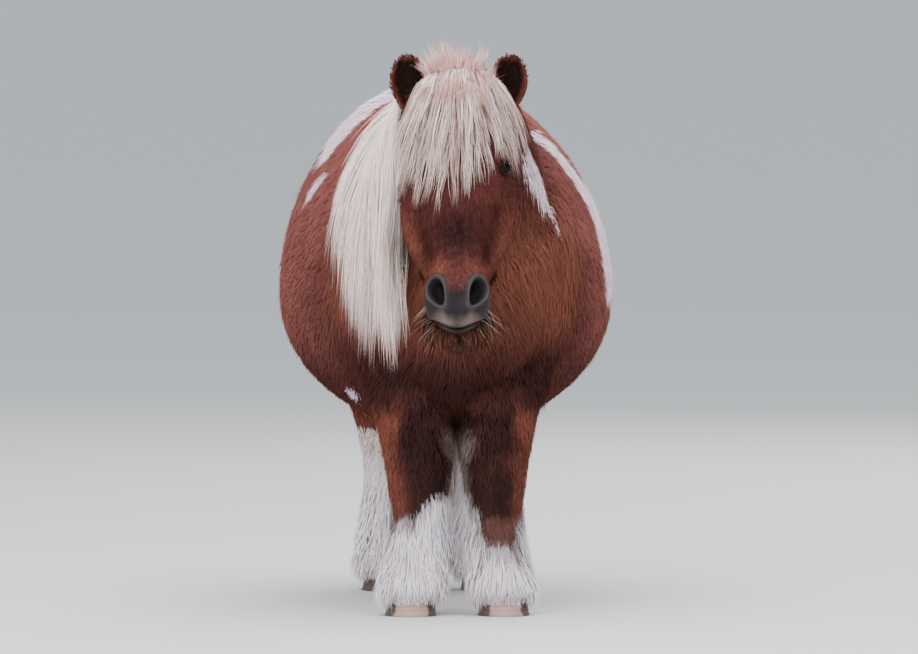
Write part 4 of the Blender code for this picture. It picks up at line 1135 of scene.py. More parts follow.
def fur(name, skin, spacing, wanted, seed, length, width, place_of, finish,
        lie_at=None, depth_at=None, colours_at=None, jitter=0.16, uneven=0.09, least=0.80, strays=0.08,
        clump=0.22, bent=False):
    """Short tufts over part of the skin, lying along the coat and gathered a little towards their tips."""
    lots = np.random.default_rng(seed)
    roots, normals = skin.spread(spacing, wanted, seed)
    lie = (lie_at or lie_of)(roots, normals)
    depth = (depth_at or coat_depth)(roots, normals)
    count = len(roots)
    lengths = length(roots, normals) * lots.uniform(0.75, 1.2, count)
    heights = depth * lots.uniform(least, 1.08, count) * (1 + 1.7 * between_legs(roots))
    stray = lots.random(count) < strays
    heights = np.where(stray, heights * 1.35, heights)
    _, which = np.unique(cells_of(roots, GATHER), return_inverse=True)
    totals = np.bincount(which)
    centres = np.column_stack([np.bincount(which, roots[:, k]) / totals for k in range(3)])[which]
    pull = (centres - roots) * np.clip(lengths / 0.03, 0, 1)[:, None]
    sway = np.cross(normals, lie) * (lots.normal(0, jitter, count) * lengths)[:, None]

    def at(along, up, pulled):
        return roots + lie * (along * lengths)[:, None] + normals * (up * heights)[:, None] + pull * pulled

    first, middle = roots - normals * 0.0006, at(0.34, 0.74, 0.10) + sway * 0.3
    tip = at(1.0, 1.0, clump) + sway
    if bent:
        tip -= normals * (0.20 * heights)[:, None]
        paths = np.stack([first, middle, at(0.66, 1.02, 0.5 * clump) + sway * 0.6, tip], axis=1)
    else:
        tip -= normals * (lengths**2 / 0.9)[:, None]
        paths = np.stack([first, middle, tip], axis=1)
    outs = np.repeat(normals[:, None, :], paths.shape[1], axis=1)
    widths = width * lots.uniform(0.75, 1.25, count) * np.clip(lengths / lengths.mean(), 0.6, 1.4)
    widths = np.where(stray, widths * 0.5, widths)
    tone = lots.normal(1.0, uneven, count) + 0.10 * noise(roots, 60, 9)
    colours = (colours_at or markings)(roots, normals) * tone[:, None]
    facing = (0.30, unit(outs + lie[:, None, :] * 0.12))
    taper = np.array((1.0, 0.85))[: 1 + bent]
    tones = np.array((0.80, 0.93, 1.0, 1.06) if bent else (0.80, 0.95, 1.05))
    hair_mesh(name, paths, outs, facing, widths, 0.30, colours, place_of(roots), taper, tones, finish)


def kept_off(point, tree, clear):
    """The point, moved out of the surface until it is clear of it."""
    for _ in range(3):
        spot, normal, _, _ = tree.find_nearest(point)
        height = (point - spot).dot(normal)
        if height >= clear and (point - spot).length >= clear:
            return point
        point = point + normal * (clear - height)
    return point


GUIDE_STEPS = 15
HUG_REACH = 0.045


def guide(tree, spot, normal, heading, length, clear, fall, hug=0.0, sunk=0.006, full=1.0):
    """Points from under the skin that turn with the fall and lie over the surface, and their ways out."""
    step = length / GUIDE_STEPS
    heading = heading.normalized()
    points = [spot + normal * min(clear, 0.008) + heading * 0.004]
    for _ in range(GUIDE_STEPS):
        heading = (heading + fall).normalized()
        point = points[-1] + heading * step
        near, out, _, _ = tree.find_nearest(point)
        height = (point - near).dot(out)
        if clear < height < HUG_REACH and out.z > -0.1:
            point -= out * (height - clear) * hug
        point = kept_off(point, tree, clear)
        heading = (point - points[-1]).normalized()
        points.append(points[-1] + heading * step)
    points.insert(0, spot - normal * sunk)
    outs, out = [], normal
    for point in points:
        away = point - tree.find_nearest(point)[0]
        if away.length > 1e-5 and len(outs) > 1:
            out = (out * 0.6 + away.normalized() * 0.4).normalized()
        outs.append(out)
    return points, outs, full


WAVE_TURNS = 1.5


def strands_of(guides, count, points, width, thickness, seed, gather, wave=0.0, short=0.25, loose=0.004):
    """Strands spread across each lock's width and depth and gathered at its tip."""
    lots = np.random.default_rng(seed)
    lines = np.array([[tuple(p) for p in path] for path, _, _ in guides])
    offs = np.array([[tuple(p) for p in outs] for _, outs, _ in guides])
    full = np.array([full for _, _, full in guides])
    which = np.repeat(np.arange(len(guides)), count)
    total, steps = len(which), lines.shape[1]
    t = np.linspace(0, 1, points)[None, :] ** 1.3 * (1 - short * lots.random((total, 1)) ** 2)
    spot = t * (steps - 1)
    i = np.minimum(spot.astype(int), steps - 2)
    part = (spot - i)[..., None]
    rows = which[:, None]
    base = lines[rows, i] * (1 - part) + lines[rows, i + 1] * part
    outs = unit(offs[rows, i] * (1 - part) + offs[rows, i + 1] * part)
    across = unit(np.cross(unit(np.gradient(base, axis=1)), outs))
    sideways = lots.uniform(-1, 1, total)
    depth = lots.uniform(-0.2, 1, total)
    profile = np.interp(t, (0, 0.3, 0.7, 1), (0.7, 1.0, 0.9, gather))
    paths = base + across * (sideways[:, None] * width / 2 * profile)[..., None]
    swell = np.interp(t, (0, 0.3, 0.7, 1), (0.25, 0.8, 1.0, 0.8))
    paths += outs * ((depth * full[which])[:, None] * thickness * swell)[..., None]
    phase = lots.uniform(0, 2 * math.pi, (total, 1)) * 0.4 + which[:, None] * 2.4
    paths += across * (wave * t * np.sin(WAVE_TURNS * 2 * math.pi * t + phase))[..., None]
    drift = lots.normal(0, 1, (total, 3))
    paths += drift[:, None, :] * (loose * t**1.5)[..., None]
    return paths, outs, which, depth


def hair(name, guides, colours_of, place_of, seed, count, points, width, thickness, strand, shades,
         nodes=(), tones=(0.80, 1.0), axis=None, **shape):
    """Long hair, made of strands along its guides and lit as round an upright axis if one is given."""
    lots = np.random.default_rng(seed + 500)
    paths, outs, which, depth = strands_of(list(guides), count, points, width, thickness, seed, **shape)
    rings = paths.shape[1] - 2
    taper = np.interp(np.linspace(0, 1, rings), (0, 0.15, 0.7, 1), (0.8, 1, 0.85, 0.35))
    colours = colours_of(paths, which, depth, lots)
    colours = colours * lots.uniform(*shades, len(paths))[:, None]
    widths = strand * lots.uniform(0.7, 1.3, len(paths))
    levels = np.interp(np.linspace(0, 1, rings + 2), (0, 0.25, 1), (tones[0], 1.0, tones[1]))
    faced = outs
    if axis:
        faced = unit((paths - np.array(axis)) * (1, 1, 0) + np.array((0, 0, 0.006)))
    hair_mesh(name, paths, outs, (0.75, faced), widths, 0.55, colours, place_of(paths[:, 0]), taper, levels,
              long_hair_finish, nodes)


# Finishes


def finish_of(name, roughness, sheen=0.0, specular=0.4, dim=1.0, bumps=(), streaks=()):
    """A finish that takes its colour from the piece's own tint."""
    material = bpy.data.materials.new(name)
    material.use_nodes = True
    nodes, links = material.node_tree.nodes, material.node_tree.links

    def filled(node, sockets):
        for socket, value in sockets.items():
            node.inputs[socket].default_value = value
        return node

    shader = filled(nodes["Principled BSDF"], {
        "Roughness": roughness, "Sheen Weight": sheen, "Sheen Roughness": 0.45,
        "Specular IOR Level": specular,
    })
    tint = nodes.new("ShaderNodeAttribute")
    tint.attribute_name = "tint"
    last = tint.outputs["Color"]
    if dim != 1.0:
        darker = filled(nodes.new("ShaderNodeHueSaturation"), {"Value": dim})
        links.new(last, darker.inputs["Color"])
        last = darker.outputs["Color"]
    if streaks:
        across, along, depth = streaks
        strand = nodes.new("ShaderNodeUVMap")
        strand.uv_map = "strand"
        stretch = filled(nodes.new("ShaderNodeVectorMath"), {1: (across, along, 1.0)})
        stretch.operation = "MULTIPLY"
        hairs = filled(nodes.new("ShaderNodeTexNoise"), {"Scale": 1.0, "Detail": 2.0})
        spread = filled(nodes.new("ShaderNodeMapRange"), {
            "From Min": 0.3, "From Max": 0.7, "To Min": 1.0 - depth, "To Max": 1.0 + depth,
        })
        streaked = nodes.new("ShaderNodeHueSaturation")
        links.new(strand.outputs["UV"], stretch.inputs[0])
        links.new(stretch.outputs["Vector"], hairs.inputs["Vector"])
        links.new(hairs.outputs["Fac"], spread.inputs["Value"])
        links.new(spread.outputs["Result"], streaked.inputs["Value"])
        links.new(last, streaked.inputs["Color"])
        last = streaked.outputs["Color"]
    links.new(last, shader.inputs["Base Color"])
    if bumps:
        scale, distance = bumps
        place = nodes.new("ShaderNodeTexCoord")
        grain = filled(nodes.new("ShaderNodeTexNoise"), {"Scale": scale, "Detail": 4})
        relief = filled(nodes.new("ShaderNodeBump"), {"Distance": distance, "Strength": 0.5})
        links.new(place.outputs["Object"], grain.inputs["Vector"])
        links.new(grain.outputs["Fac"], relief.inputs["Height"])
        links.new(relief.outputs["Normal"], shader.inputs["Normal"])
    return material


def tinted(obj, colours, finish):
    """Gives the mesh its colours and finish."""
    mesh = obj.data
    rgba = np.ones((len(colours), 4))
    rgba[:, :3] = colours
    mesh.attributes.new("tint", "FLOAT_COLOR", "POINT").data.foreach_set("color", rgba.ravel())
    mesh.materials.clear()
    mesh.materials.append(finish)
    mesh.shade_smooth()


def shifted(obj):
    """Moves the mesh from the layout to its place in the frame."""
    obj.data.vertices.foreach_set("co", in_frame(points_of(obj.data)).ravel())
    obj.data.update()


def finished(obj, colours, finish, nodes=()):
    """Gives a piece its colours and finish, its place in the frame, and what it stands for."""
    tinted(obj, colours, finish)
    shifted(obj)
    dressed(obj, nodes)


skin_finish = finish_of("skin_and_undercoat", 0.62, specular=0.08, dim=0.95, bumps=(420, 0.0012))
fur_finish = finish_of("winter_coat", 0.62, specular=0.0, streaks=(7.0, 0.8, 0.22))
long_hair_finish = finish_of("long_hair", 0.50, sheen=0.05, specular=0.25, streaks=(3.0, 0.8, 0.14))
horn_finish = finish_of("hoof_horn", 0.60, bumps=(160, 0.0010))
eye_finish = finish_of("wet_eye", 0.08, specular=0.02)

# Skin
skin_object = refined(body_form())
plain_points, plain_normals = points_of(skin_object.data), points_of(skin_object.data, "normal")
plain_points = plain_points - plain_normals * coat_depth(plain_points, plain_normals)[:, None]
shape_head(skin_object)
points, normals = points_of(skin_object.data), points_of(skin_object.data, "normal")
points -= normals * coat_depth(points, normals)[:, None]
skin_object.data.vertices.foreach_set("co", points.ravel())
skin_object.data.update()
body = Skin(skin_object)
tinted(skin_object, markings(points, normals), skin_finish)
ears = [ear_form(side) for side in (-1, 1)]
for ear in ears:
    tinted(ear, ear_colours(points_of(ear.data), points_of(ear.data, "normal")), skin_finish)
ear_skins = [Skin(ear) for ear in ears]
with_ears = bmesh.new()
for obj in [skin_object] + ears:
    with_ears.from_mesh(obj.data)
with_ears.to_mesh(skin_object.data)
with_ears.free()
for ear in ears:
    bpy.data.objects.remove(ear)
skin_object.data.shade_smooth()
shifted(skin_object)
dressed(skin_object, (
    "torso", "neck", "head", "ear_left", "ear_right",
    "fore_leg_left", "fore_leg_right", "hind_leg_left", "hind_leg_right",
))

# Eyes
SIDES = (("left", 1), ("right", -1))
for word, side in SIDES:
    place, out, along, up = eye_frame(side)
    middle = place - out * EYE_SUNK
    bm = bmesh.new()
    turn = Matrix((along, up, out)).transposed()
    if turn.determinant() < 0:
        turn = Matrix((-along, up, out)).transposed()
    matrix = Matrix.Translation(middle) @ turn.to_4x4()
    bmesh.ops.create_uvsphere(bm, u_segments=64, v_segments=48, radius=EYE_RADIUS, matrix=matrix)
    for vert in bm.verts:
        reach = (vert.co - middle).dot(out) / EYE_RADIUS
        if reach > CORNEA_START:
            vert.co += out * CORNEA_RISE * float(rising(reach, CORNEA_START, 0.2))
    eye = object_of(bm, "eyeball_" + word)
    reach = points_of(eye.data) - np.array(middle)
    du, dv, depth = reach @ np.array(along), reach @ np.array(up), reach @ np.array(out)
    ahead = depth > 0
    grain = noise(points_of(eye.data), 900, 7)
    iris = falling(np.hypot(du, dv), IRIS_RADIUS, 0.0015) * ahead
    colours = painted(same_for(reach, EYE_BROWN), (IRIS, iris))
    colours *= (1 + 0.25 * grain * iris)[:, None]
    pupil = smooth_share((1 - np.hypot(du / PUPIL_HALF[0], dv / PUPIL_HALF[1])) / 0.2 + 0.5) * ahead
    finished(eye, np.clip(painted(colours, (PUPIL, pupil)), 0, 1), eye_finish, ("eye_" + word,))

# Hooves
for word, side in SIDES:
    for kind, (x, y) in (("fore", HOOF_FORE), ("hind", HOOF_HIND)):
        hoof = hoof_form("horn_" + kind + "_" + word, side * x, y)
        places = points_of(hoof.data)
        dirt = noise(places, 42, 12) * 0.9 + noise(places, 110, 13) * 0.7
        edge = np.abs(places[:, 0] - side * x) - 0.022 + 0.012 * noise(places, 90, 15)
        dirt = smooth_share(0.7 * dirt + 1.5 * smooth_share(edge / 0.010) - 0.25)
        colours = painted(same_for(places, HORN), (MUD, 0.85 * dirt))
        colours *= (1 + 0.12 * np.cos(places[:, 2] * 900))[:, None]
        finished(hoof, colours, horn_finish, ("hoof_" + kind + "_" + word,))

# Coat: the unwraps of the skin that its pieces use, and the pieces' numbers
trunk_place = unrolled((0, 0, 0.56), (0, 1, 0), (0, 0, 1), (-0.17, 0.80), 0.28)
head_place = unrolled(on_head(0, 0, 0.07), FACE_DOWN, -FACE_BACK, (0.0, MUZZLE_END), 0.06)
neck_place = unrolled((0, -0.10, 0.74), (0, -0.80, 0.60), (0, 0.60, 0.80), (-0.20, 0.25), 0.08)
tail_place = unrolled((TAIL_X, 0.83, 0), (0, 0, 1), (0, 1, 0), (0.45, 0.80), 0.02)
RIGHT, LEFT, BREAST, NAPE, FORE_RIGHT, FORE_LEFT, HIND_RIGHT, HIND_LEFT, FACE = range(9)


def leg_place(x, y):
    return unrolled((x, y, 0), (0, 0, 1), (0, -1, 0), (0.0, 0.45), 0.0)


def piece_of(points):
    """Which piece of coat each place belongs to."""
    head, neck, fore, hind = zones(points)
    side = np.where(points[:, 0] < 0, RIGHT, LEFT)
    found = np.where(points[:, 1] < BREAST_END, BREAST, side)
    found = np.where(neck > 0.5, NAPE, found)
    found = np.where(fore > 0.5, FORE_RIGHT + side, found)
    found = np.where(hind > 0.5, HIND_RIGHT + side, found)
    return np.where(head > 0.5, FACE, found)


def trunk_length(points, normals):
    return COAT_LENGTH + 0.018 * breast_share(points, normals)


def leg_length(points, normals):
    return LEG_LENGTH + 0.016 * rising(points[:, 2], *LEG_GROWS)


def face_length(points, normals):
    _, down, back = head_places(points)
    jaw = rising(back, 0.09, 0.05) * (down > 0.05)
    chin = rising(from_mouth(points), 0.003, 0.010) * (down > 0.39)
    short = 0.0035 * rising(down, *FACE_THINS)
    return FACE_LENGTH + 0.010 * cheek_share(points) + 0.008 * jaw + 0.012 * chin - short


def on_piece(number):
    return lambda middles: piece_of(middles) == number


def furry_face(middles):
    """The head, apart from the bare muzzle and the openings of the eyes."""
    bare = muzzle_share(middles) > 0.45
    eyes = np.zeros(len(middles), bool)
    for side in (-1, 1):
        place, _, along, up = map(np.array, eye_frame(side))
        reach = middles - place
        opened = almond(reach @ along * 0.85, reach @ up * 0.8) < 1
        eyes |= (np.linalg.norm(reach, axis=1) < 0.03) & opened
    return (piece_of(middles) == FACE) & ~bare & ~eyes


# Pieces of the coat: number, spacing and width of the tufts, length of the hair, unwrap
COAT = {
    "coat_right": (RIGHT, 0.0046, 0.0031, trunk_length, trunk_place),
    "coat_left": (LEFT, 0.0046, 0.0031, trunk_length, trunk_place),
    "coat_breast": (BREAST, 0.0041, 0.0028, trunk_length, trunk_place),
    "coat_neck": (NAPE, 0.0041, 0.0028, trunk_length, neck_place),
    "coat_fore_right": (FORE_RIGHT, 0.0038, 0.0026, leg_length, leg_place(-0.07, 0.0)),
    "coat_fore_left": (FORE_LEFT, 0.0038, 0.0026, leg_length, leg_place(0.07, 0.0)),
    "coat_hind_right": (HIND_RIGHT, 0.0042, 0.0034, leg_length, leg_place(-0.09, 0.70)),
    "coat_hind_left": (HIND_LEFT, 0.0042, 0.0034, leg_length, leg_place(0.09, 0.70)),
}
for name, (number, spacing, width, length, place_of) in COAT.items():
    fur(name, body, spacing, on_piece(number), number + 1, length, width, place_of, fur_finish)
fur("coat_face", body, 0.0029, furry_face, 9, face_length, 0.0021, head_place, fur_finish, jitter=0.42,
    uneven=0.18, strays=0.25, least=0.6)


def steady(value):
    """The same number for every place."""
    return lambda points, normals: np.full(len(points), value)


def lying(x, y, z):
    """Hair that lies this way, along the skin."""
    return lambda points, normals: flattened(same_for(points, (x, y, z)), normals)


def above(height):
    return lambda middles: middles[:, 2] > height


EAR_FUR_START = 0.835
for side, word, ear_skin in ((-1, "right", ear_skins[0]), (1, "left", ear_skins[1])):
    ear_place = unrolled(on_side(side, EAR_PLACE), (0, 0, 1), (0, 1, 0), (-0.03, 0.10), 0.0)
    fur("ear_fur_" + word, ear_skin, 0.0026, above(EAR_FUR_START), 90 + side, steady(0.0095), 0.0019,
        ear_place, fur_finish, lie_at=lying(side * 0.25, -0.10, 1.0), depth_at=steady(0.0030),
        colours_at=ear_colours, jitter=0.35, uneven=0.16)


# Long hair
tree = BVHTree.FromPolygons(plain_points.tolist(), body.triangles.tolist())


def dropped_on(x, y):
    spot, normal, _, _ = tree.ray_cast(Vector((x, y, ABOVE_ALL)), DOWN)
    return spot, normal


# Locks of long hair, a layer, in all or a side
MANE_LAYERS = 4
MANE_LOCKS = 17
FORELOCK_LOCKS = (17, 16, 15)
POLL_LOCKS = 64
WHISKERS = 11


def mane_guides():
    lots = random.Random(31)
    for layer in range(MANE_LAYERS):
        for k in range(MANE_LOCKS):
            share = (k + layer / MANE_LAYERS) / (MANE_LOCKS - 1 / MANE_LAYERS)
            spot, normal = dropped_on(-0.016 + 0.008 * layer, -0.222 + 0.250 * share)
            rear = max(0.0, share - 0.72) / 0.28
            length = (0.56 - 0.07 * share) * lots.uniform(0.88, 1.03) * (1 - 0.50 * rear)
            swept = -0.06 + lots.uniform(-0.06, 0.06) + 0.45 * rear
            heading = Vector((-0.90, swept, 0.08 + 0.06 * layer)).normalized()
            clear = 0.005 + 0.004 * layer
            yield guide(tree, spot, normal, heading, length, clear, Vector((0, 0, -0.44)), 0.8)


# Length of the forelock at each place across it
FORELOCK_LENGTHS = ((-1, -0.65, -0.4, 0.1, 0.45, 1), (0.200, 0.220, 0.270, 0.232, 0.172, 0.168))


def forelock_guides():
    lots = random.Random(12)
    for layer, count in enumerate(FORELOCK_LOCKS):
        for k in range(count):
            share = ((k + 0.5 * (layer % 2)) / (count - 0.5)) * 2 - 1
            spot, normal = dropped_on(share * 0.042, -0.300 + 0.012 * layer - 0.012 * share * share)
            length = np.interp(share, *FORELOCK_LENGTHS)
            length *= lots.uniform(0.72, 0.97)
            aside = max(0.0, share - 0.35)
            heading = Vector((share * 0.40 + 0.50 * aside, -0.58, 0.28)).normalized()
            fall = Vector((share * 0.24 + 0.20 * aside, 0, -1)) * 0.28
            yield guide(tree, spot, normal, heading, length, 0.007 + 0.009 * layer, fall, 0.8)


def poll_guides():
    """Short fluffy hair that stands on the poll and falls outwards over the ears' roots."""
    lots = random.Random(17)
    for k in range(POLL_LOCKS):
        x, y = lots.uniform(-0.043, 0.043), lots.uniform(-0.312, -0.235)
        spot, normal = dropped_on(x, y)
        heading = Vector((x * 9, (y + 0.275) * 9 - 0.15, 0.95 + lots.uniform(-0.2, 0.3))).normalized()
        length = lots.uniform(0.034, 0.064) * (1 - 0.2 * abs(x) / 0.043)
        fall = Vector((0, 0, -0.05))
        if k % 3 == 0:
            spot, normal = dropped_on(x, -0.302 + lots.uniform(-0.004, 0.016))
            heading, fall = Vector((x * 8, -0.75, 0.45)).normalized(), Vector((0, 0, -0.14))
            length = lots.uniform(0.030, 0.075)
        yield guide(tree, spot, normal, heading, length, 0.003, fall, full=0.8)


def poll_colours(paths, which, depth, lots):
    return painted(same_for(paths, ROSY), (CREAM, 0.75 * lots.random(len(paths)) ** 2))


def mane_colours(paths, which, depth, lots):
    count = len(paths)
    colours = painted(same_for(paths, CREAM), (FLAXEN, lots.random(count) * 0.22))
    return painted(colours, (FLAXEN, 0.25 * (falling(paths[:, -1, 2], 0.52, 0.2) * lots.random(count))))


def forelock_colours(paths, which, depth, lots):
    count = len(paths)
    # Strands deep in the lock are taken brown as painted shade under the top layer, some whole locks are
    # brown, and a share of the strands, more of them deep, are darkened as painted shadow strands
    deep = falling(depth, 0.45, 0.6) * lots.random(count)
    lock = np.random.default_rng(3).random(which.max() + 1)[which]
    colours = painted(same_for(paths, CREAM), (FLAXEN, 0.6 * lots.random(count)))
    brown = np.clip(1.2 * deep + 0.40 * (lock > 0.68), 0, 0.95)
    dark = 0.85 * (lots.random(count) < 0.22 + 0.25 * (depth < 0.15))
    return painted(colours, (HAIR_BROWN, brown), (PAINTED_SHADOW_HAIR, dark))


def tail_colours(paths, which, depth, lots):
    count = len(paths)
    colours = painted(same_for(paths, CREAM), (FLAXEN, lots.random(count) * 0.7))
    stripe = bump(paths[:, -1, 0] - TAIL_X + 0.02, 0.018) * lots.random(count)
    return painted(colours, (TAIL_STRIPE, 0.8 * stripe))


hair("mane", mane_guides(), mane_colours, neck_place, seed=60, count=42, points=11, width=0.030,
     thickness=0.008, strand=0.0020, shades=(0.92, 1.12), tones=(0.75, 0.95), gather=0.45, wave=0.007,
     short=0.32, loose=0.008)
hair("poll_tuft", poll_guides(), poll_colours, head_place, seed=63, count=34, points=6, width=0.016,
     thickness=0.012, strand=0.0011, shades=(0.8, 1.08), tones=(0.6, 1.0), gather=1.1, wave=0.002)
hair("forelock", forelock_guides(), forelock_colours, head_place, seed=61, count=42, points=10, width=0.016,
     thickness=0.009, strand=0.0014, shades=(0.70, 1.06), tones=(0.70, 0.92), gather=0.16, wave=0.004,
     short=0.55)


def dock_sections():
    rows = smooth_rows(DOCK, 24)
    for (y, z, half_width, half_depth), along in zip(rows, ways_along(rows)):
        depth = half_depth - DOCK_COAT
        yield Vector((TAIL_X, y, z)), ACROSS.cross(along), half_width - DOCK_COAT, depth, depth


dock = loft("dock", dock_sections(), 32)
dock_skin = Skin(dock)
finished(dock, same_for(dock_skin.points, DOCK_BROWN), skin_finish)


# Locks on top of the dock: place along Y, half width, count. Locks round it: height, count
TAIL_ROWS = ((0.765, 0.020, 9), (0.790, 0.026, 12), (0.812, 0.028, 13))
TAIL_RINGS = ((0.755, 9), (0.72, 9), (0.68, 9), (0.63, 9), (0.58, 8), (0.53, 8))


def tail_guides():
    lots = random.Random(13)
    both = BVHTree.FromPolygons(
        np.vstack([body.points, dock_skin.points]).tolist(),
        np.vstack([body.triangles, dock_skin.triangles + len(body.points)]).tolist(),
    )
    for row, (y, half_width, count) in enumerate(TAIL_ROWS):
        for k in range(count):
            share = k / (count - 1) * 2 - 1
            top = Vector((TAIL_X + share * half_width, y, ABOVE_ALL))
            spot, normal, _, _ = dock_skin.tree.ray_cast(top, DOWN)
            if spot is None:
                continue
            heading = Vector((share * 0.5, 1.0, -0.2)).normalized()
            length = (0.70 - 0.02 * row) * lots.uniform(0.90, 1.0)
            clear = 0.006 + 0.004 * (2 - row)
            yield guide(both, spot, normal, heading, length, clear, Vector((0, 0, -0.85)))
    for z, count in TAIL_RINGS:
        for k in range(count):
            turn = 2 * math.pi * (k + lots.uniform(-0.3, 0.3)) / count
            aim = Vector((math.cos(turn), math.sin(turn), 0))
            spot, normal, _, _ = dock_skin.tree.ray_cast(Vector((TAIL_X, 0.836, z)) + aim * 0.2, -aim)
            if spot is None:
                continue
            near, out, _, _ = tree.find_nearest(spot)
            if (spot - near).dot(out) < 0.004:
                continue
            heading = Vector((aim.x * 0.30, aim.y * 0.12 + 0.04, -0.5)).normalized()
            length = (z - 0.035) * lots.uniform(0.86, 1.0)
            yield guide(both, spot, normal, heading, length, 0.006, Vector((0, 0, -0.50)))


def dock_colours(points, normals):
    return painted(same_for(points, CREAM), (FLAXEN, 0.5 + 0.5 * noise(points, 50, 4)))


fur("dock_fur", dock_skin, 0.0050, above(0.0), 95, steady(0.035), 0.0030, tail_place, fur_finish,
    lie_at=lying(0.0, 0.5, -1.0), depth_at=steady(0.005), colours_at=dock_colours)
hair("tail_hair", tail_guides(), tail_colours, tail_place, seed=62, count=36, points=10, width=0.034,
     thickness=0.020, strand=0.0023, shades=(0.80, 1.08), nodes=("tail",), tones=(0.80, 0.95),
     axis=(TAIL_X, TAIL_Y, 0), gather=0.4, wave=0.004)

# Depth of the feathers at each height
FEATHER_DEPTHS = ((0.040, 0.060, 0.120, 0.150, 0.180, 0.210), (0.013, 0.017, 0.020, 0.018, 0.011, 0.005))
FORWARD = (0.0, -1.0, 0.0)


def feather_length(points, normals):
    z = points[:, 2]
    lowest = 0.006 + 0.020 * rising(-normals[:, 1], 0.55, 0.3)
    return np.clip(np.minimum(0.030 + 0.032 * falling(z, 0.205, 0.06), (z - lowest) / 1.2), 0.004, 1)


def feather_depth(points, normals):
    return np.interp(points[:, 2], *FEATHER_DEPTHS)


def feather_colours(points, normals):
    x, _, z = points.T
    spots = 0.5 + 0.5 * noise(points, 34, 14) + 0.4 * noise(points, 120, 15)
    warm = np.clip(spots * (0.25 + 0.9 * bump(x, 0.045)), 0, 1) * falling(z, 0.16, 0.05)
    colours = painted(markings(points, same_for(points, FORWARD)), (STAINED_WHITE, 0.5 * warm))
    return painted(colours, (MUDDY_WHITE, 0.45 * spots * falling(z, 0.056, 0.016)))


# How much green light the coat sends back where it counts as white
WHITE_FROM = 0.28


def feathered(number):
    """The white lower part of one leg."""
    def wanted(middles):
        z = middles[:, 2]
        low = (z > FEATHER_ENDS[0]) & (z < FEATHER_ENDS[1]) & (piece_of(middles) == number)
        found = low.copy()
        found[low] = markings(middles[low], same_for(middles[low], FORWARD))[:, 1] > WHITE_FROM
        return found

    return wanted


# Feathers: piece of the coat, the leg's middle (x, y), spacing and width of the tufts
FEATHERS = {
    "feather_fore_right": (FORE_RIGHT, -0.07, 0.0, 0.0024, 0.0017),
    "feather_fore_left": (FORE_LEFT, 0.07, 0.0, 0.0024, 0.0017),
    "feather_hind_right": (HIND_RIGHT, -0.085, 0.70, 0.0029, 0.0022),
    "feather_hind_left": (HIND_LEFT, 0.085, 0.70, 0.0029, 0.0022),
}
for name, (number, x, y, spacing, width) in FEATHERS.items():
    fur(name, body, spacing, feathered(number), 66 + number, feather_length, width, leg_place(x, y),
        long_hair_finish, lie_at=lying(0.0, 0.12, -1.0), depth_at=feather_depth,
        colours_at=feather_colours, jitter=0.15, uneven=0.08, least=0.30, clump=0.45, bent=True)


def bearded(middles):
    """The chin, the jaw's lower side and the throat."""
    across, down, back = head_places(middles)
    under = rising(back, 0.055, 0.03) * (down > 0.16)
    chin = (from_mouth(middles) > 0.0045) & (down > 0.39)
    jaw = line_distance(np.column_stack([down, back]), (0.16, 0.20), (0.42, 0.105)) < 0.034
    jaw &= (np.abs(across) < 0.06) & (under > 0.2)
    return (piece_of(middles) == FACE) & (chin | jaw)


def beard_lie(points, normals):
    way = same_for(points, (0.0, 0.25, -1.0))
    way[:, 0] += 0.40 * np.clip(points[:, 0] / 0.03, -1, 1)
    return flattened(way, normals, 0.6)


def beard_depth(points, normals):
    return 0.004 + 0.004 * rising(head_places(points)[2], 0.05, 0.03)


def beard_length(points, normals):
    across, down, _ = head_places(points)
    length = 0.016 + 0.006 * rising(down, 0.36, 0.04)
    return length * (1 + 0.9 * rising(np.abs(across), 0.010, 0.02))


def beard_colours(points, normals):
    middle = 0.35 * bump(points[:, 0], 0.030)
    return painted(
        same_for(points, FIERY),
        (BEARD_PALE, 0.4 + 0.6 * noise(points, 160, 21)),
        (BEARD_DARK, 0.55 + middle + 0.30 * noise(points, 200, 22)),
    )


fur("beard", body, 0.0026, bearded, 80, beard_length, 0.0016, head_place, fur_finish, lie_at=beard_lie,
    depth_at=beard_depth, colours_at=beard_colours, jitter=0.30, uneven=0.2, clump=0.30, bent=True)


def whisker_guides():
    lots = random.Random(19)
    for side in (-1, 1):
        for _ in range(WHISKERS):
            down, back = lots.uniform(0.375, 0.430), lots.uniform(0.045, 0.085)
            spot, _, _, _ = tree.ray_cast(on_head(0, down, back), Vector((side, -0.15, 0)).normalized())
            if spot is None:
                continue
            heading = Vector((side * 0.7, -0.25, -0.55 + lots.uniform(-0.4, 0.4))).normalized()
            length = lots.uniform(0.025, 0.060)
            out, fall = Vector((side, 0, 0)), Vector((0, 0, -0.03))
            yield guide(tree, spot, out, heading, length, 0.0, fall, sunk=0.003)


def whisker_colours(paths, which, depth, lots):
    return same_for(paths, WHISKER)


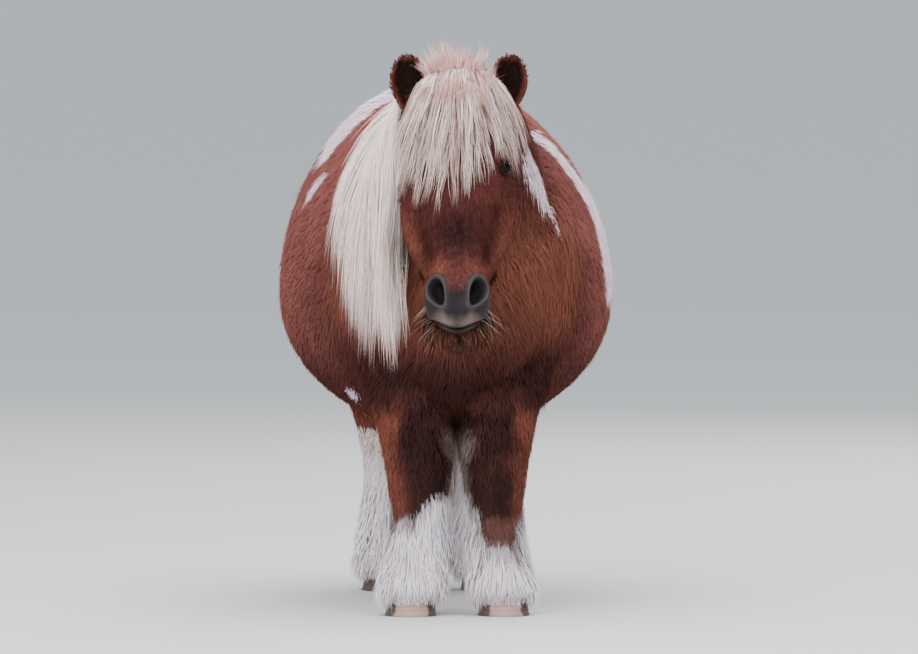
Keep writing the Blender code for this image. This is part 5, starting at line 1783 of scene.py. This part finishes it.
hair("whiskers", whisker_guides(), whisker_colours, head_place, seed=81, count=1, points=7, width=0.0,
     thickness=0.0, strand=0.0007, shades=(0.6, 1.1), gather=1.0)

# Camera, floor and light
AIM = Vector((0.003, -0.016, 0.490)) + SHIFT
DISTANCE = 26.0
TURN = math.radians(-3.0)
PITCH = math.radians(2.6)
camera_data = bpy.data.cameras.new("camera")
camera_data.lens = 601.0
camera_data.sensor_width = 36.0
camera_data.clip_end = 200.0
camera = added("camera", camera_data)
camera.location = AIM + DISTANCE * Vector((
    math.sin(TURN) * math.cos(PITCH), -math.cos(TURN) * math.cos(PITCH), math.sin(PITCH)))
camera.rotation_euler = (AIM - camera.location).to_track_quat("-Z", "Y").to_euler()
bpy.context.scene.camera = camera

bm = bmesh.new()
bmesh.ops.create_grid(bm, x_segments=1, y_segments=1, size=60)
floor = object_of(bm, "floor")
paper = bpy.data.materials.new("pale_floor")
paper.use_nodes = True
sockets = paper.node_tree.nodes["Principled BSDF"].inputs
sockets["Base Color"].default_value = (0.62, 0.62, 0.60, 1)
sockets["Roughness"].default_value = 0.9
floor.data.materials.append(paper)

world = bpy.data.worlds.new("soft_daylight")
bpy.context.scene.world = world
world.use_nodes = True
world.node_tree.nodes["Background"].inputs["Color"].default_value = (0.86, 0.92, 1.0, 1)
world.node_tree.nodes["Background"].inputs["Strength"].default_value = 1.0


def area_light(name, place, aim, size, power, colour):
    data = bpy.data.lights.new(name, "AREA")
    data.size = size
    data.energy = power
    data.color = colour
    lamp = added(name, data)
    lamp.location = place
    lamp.rotation_euler = (Vector(aim) - Vector(place)).to_track_quat("-Z", "Y").to_euler()


area_light("sky_panel", (0.0, -1.5, 4.5), (0, 0, 0.5), 5.0, 420, (0.95, 0.97, 1.0))
area_light("front_panel", (-2.0, -5.0, 2.4), (0, 0, 0.6), 3.0, 190, (1.0, 0.97, 0.93))
area_light("back_panel", (2.2, 4.5, 3.0), (0, 0, 0.6), 3.0, 150, (1.0, 0.98, 0.95))
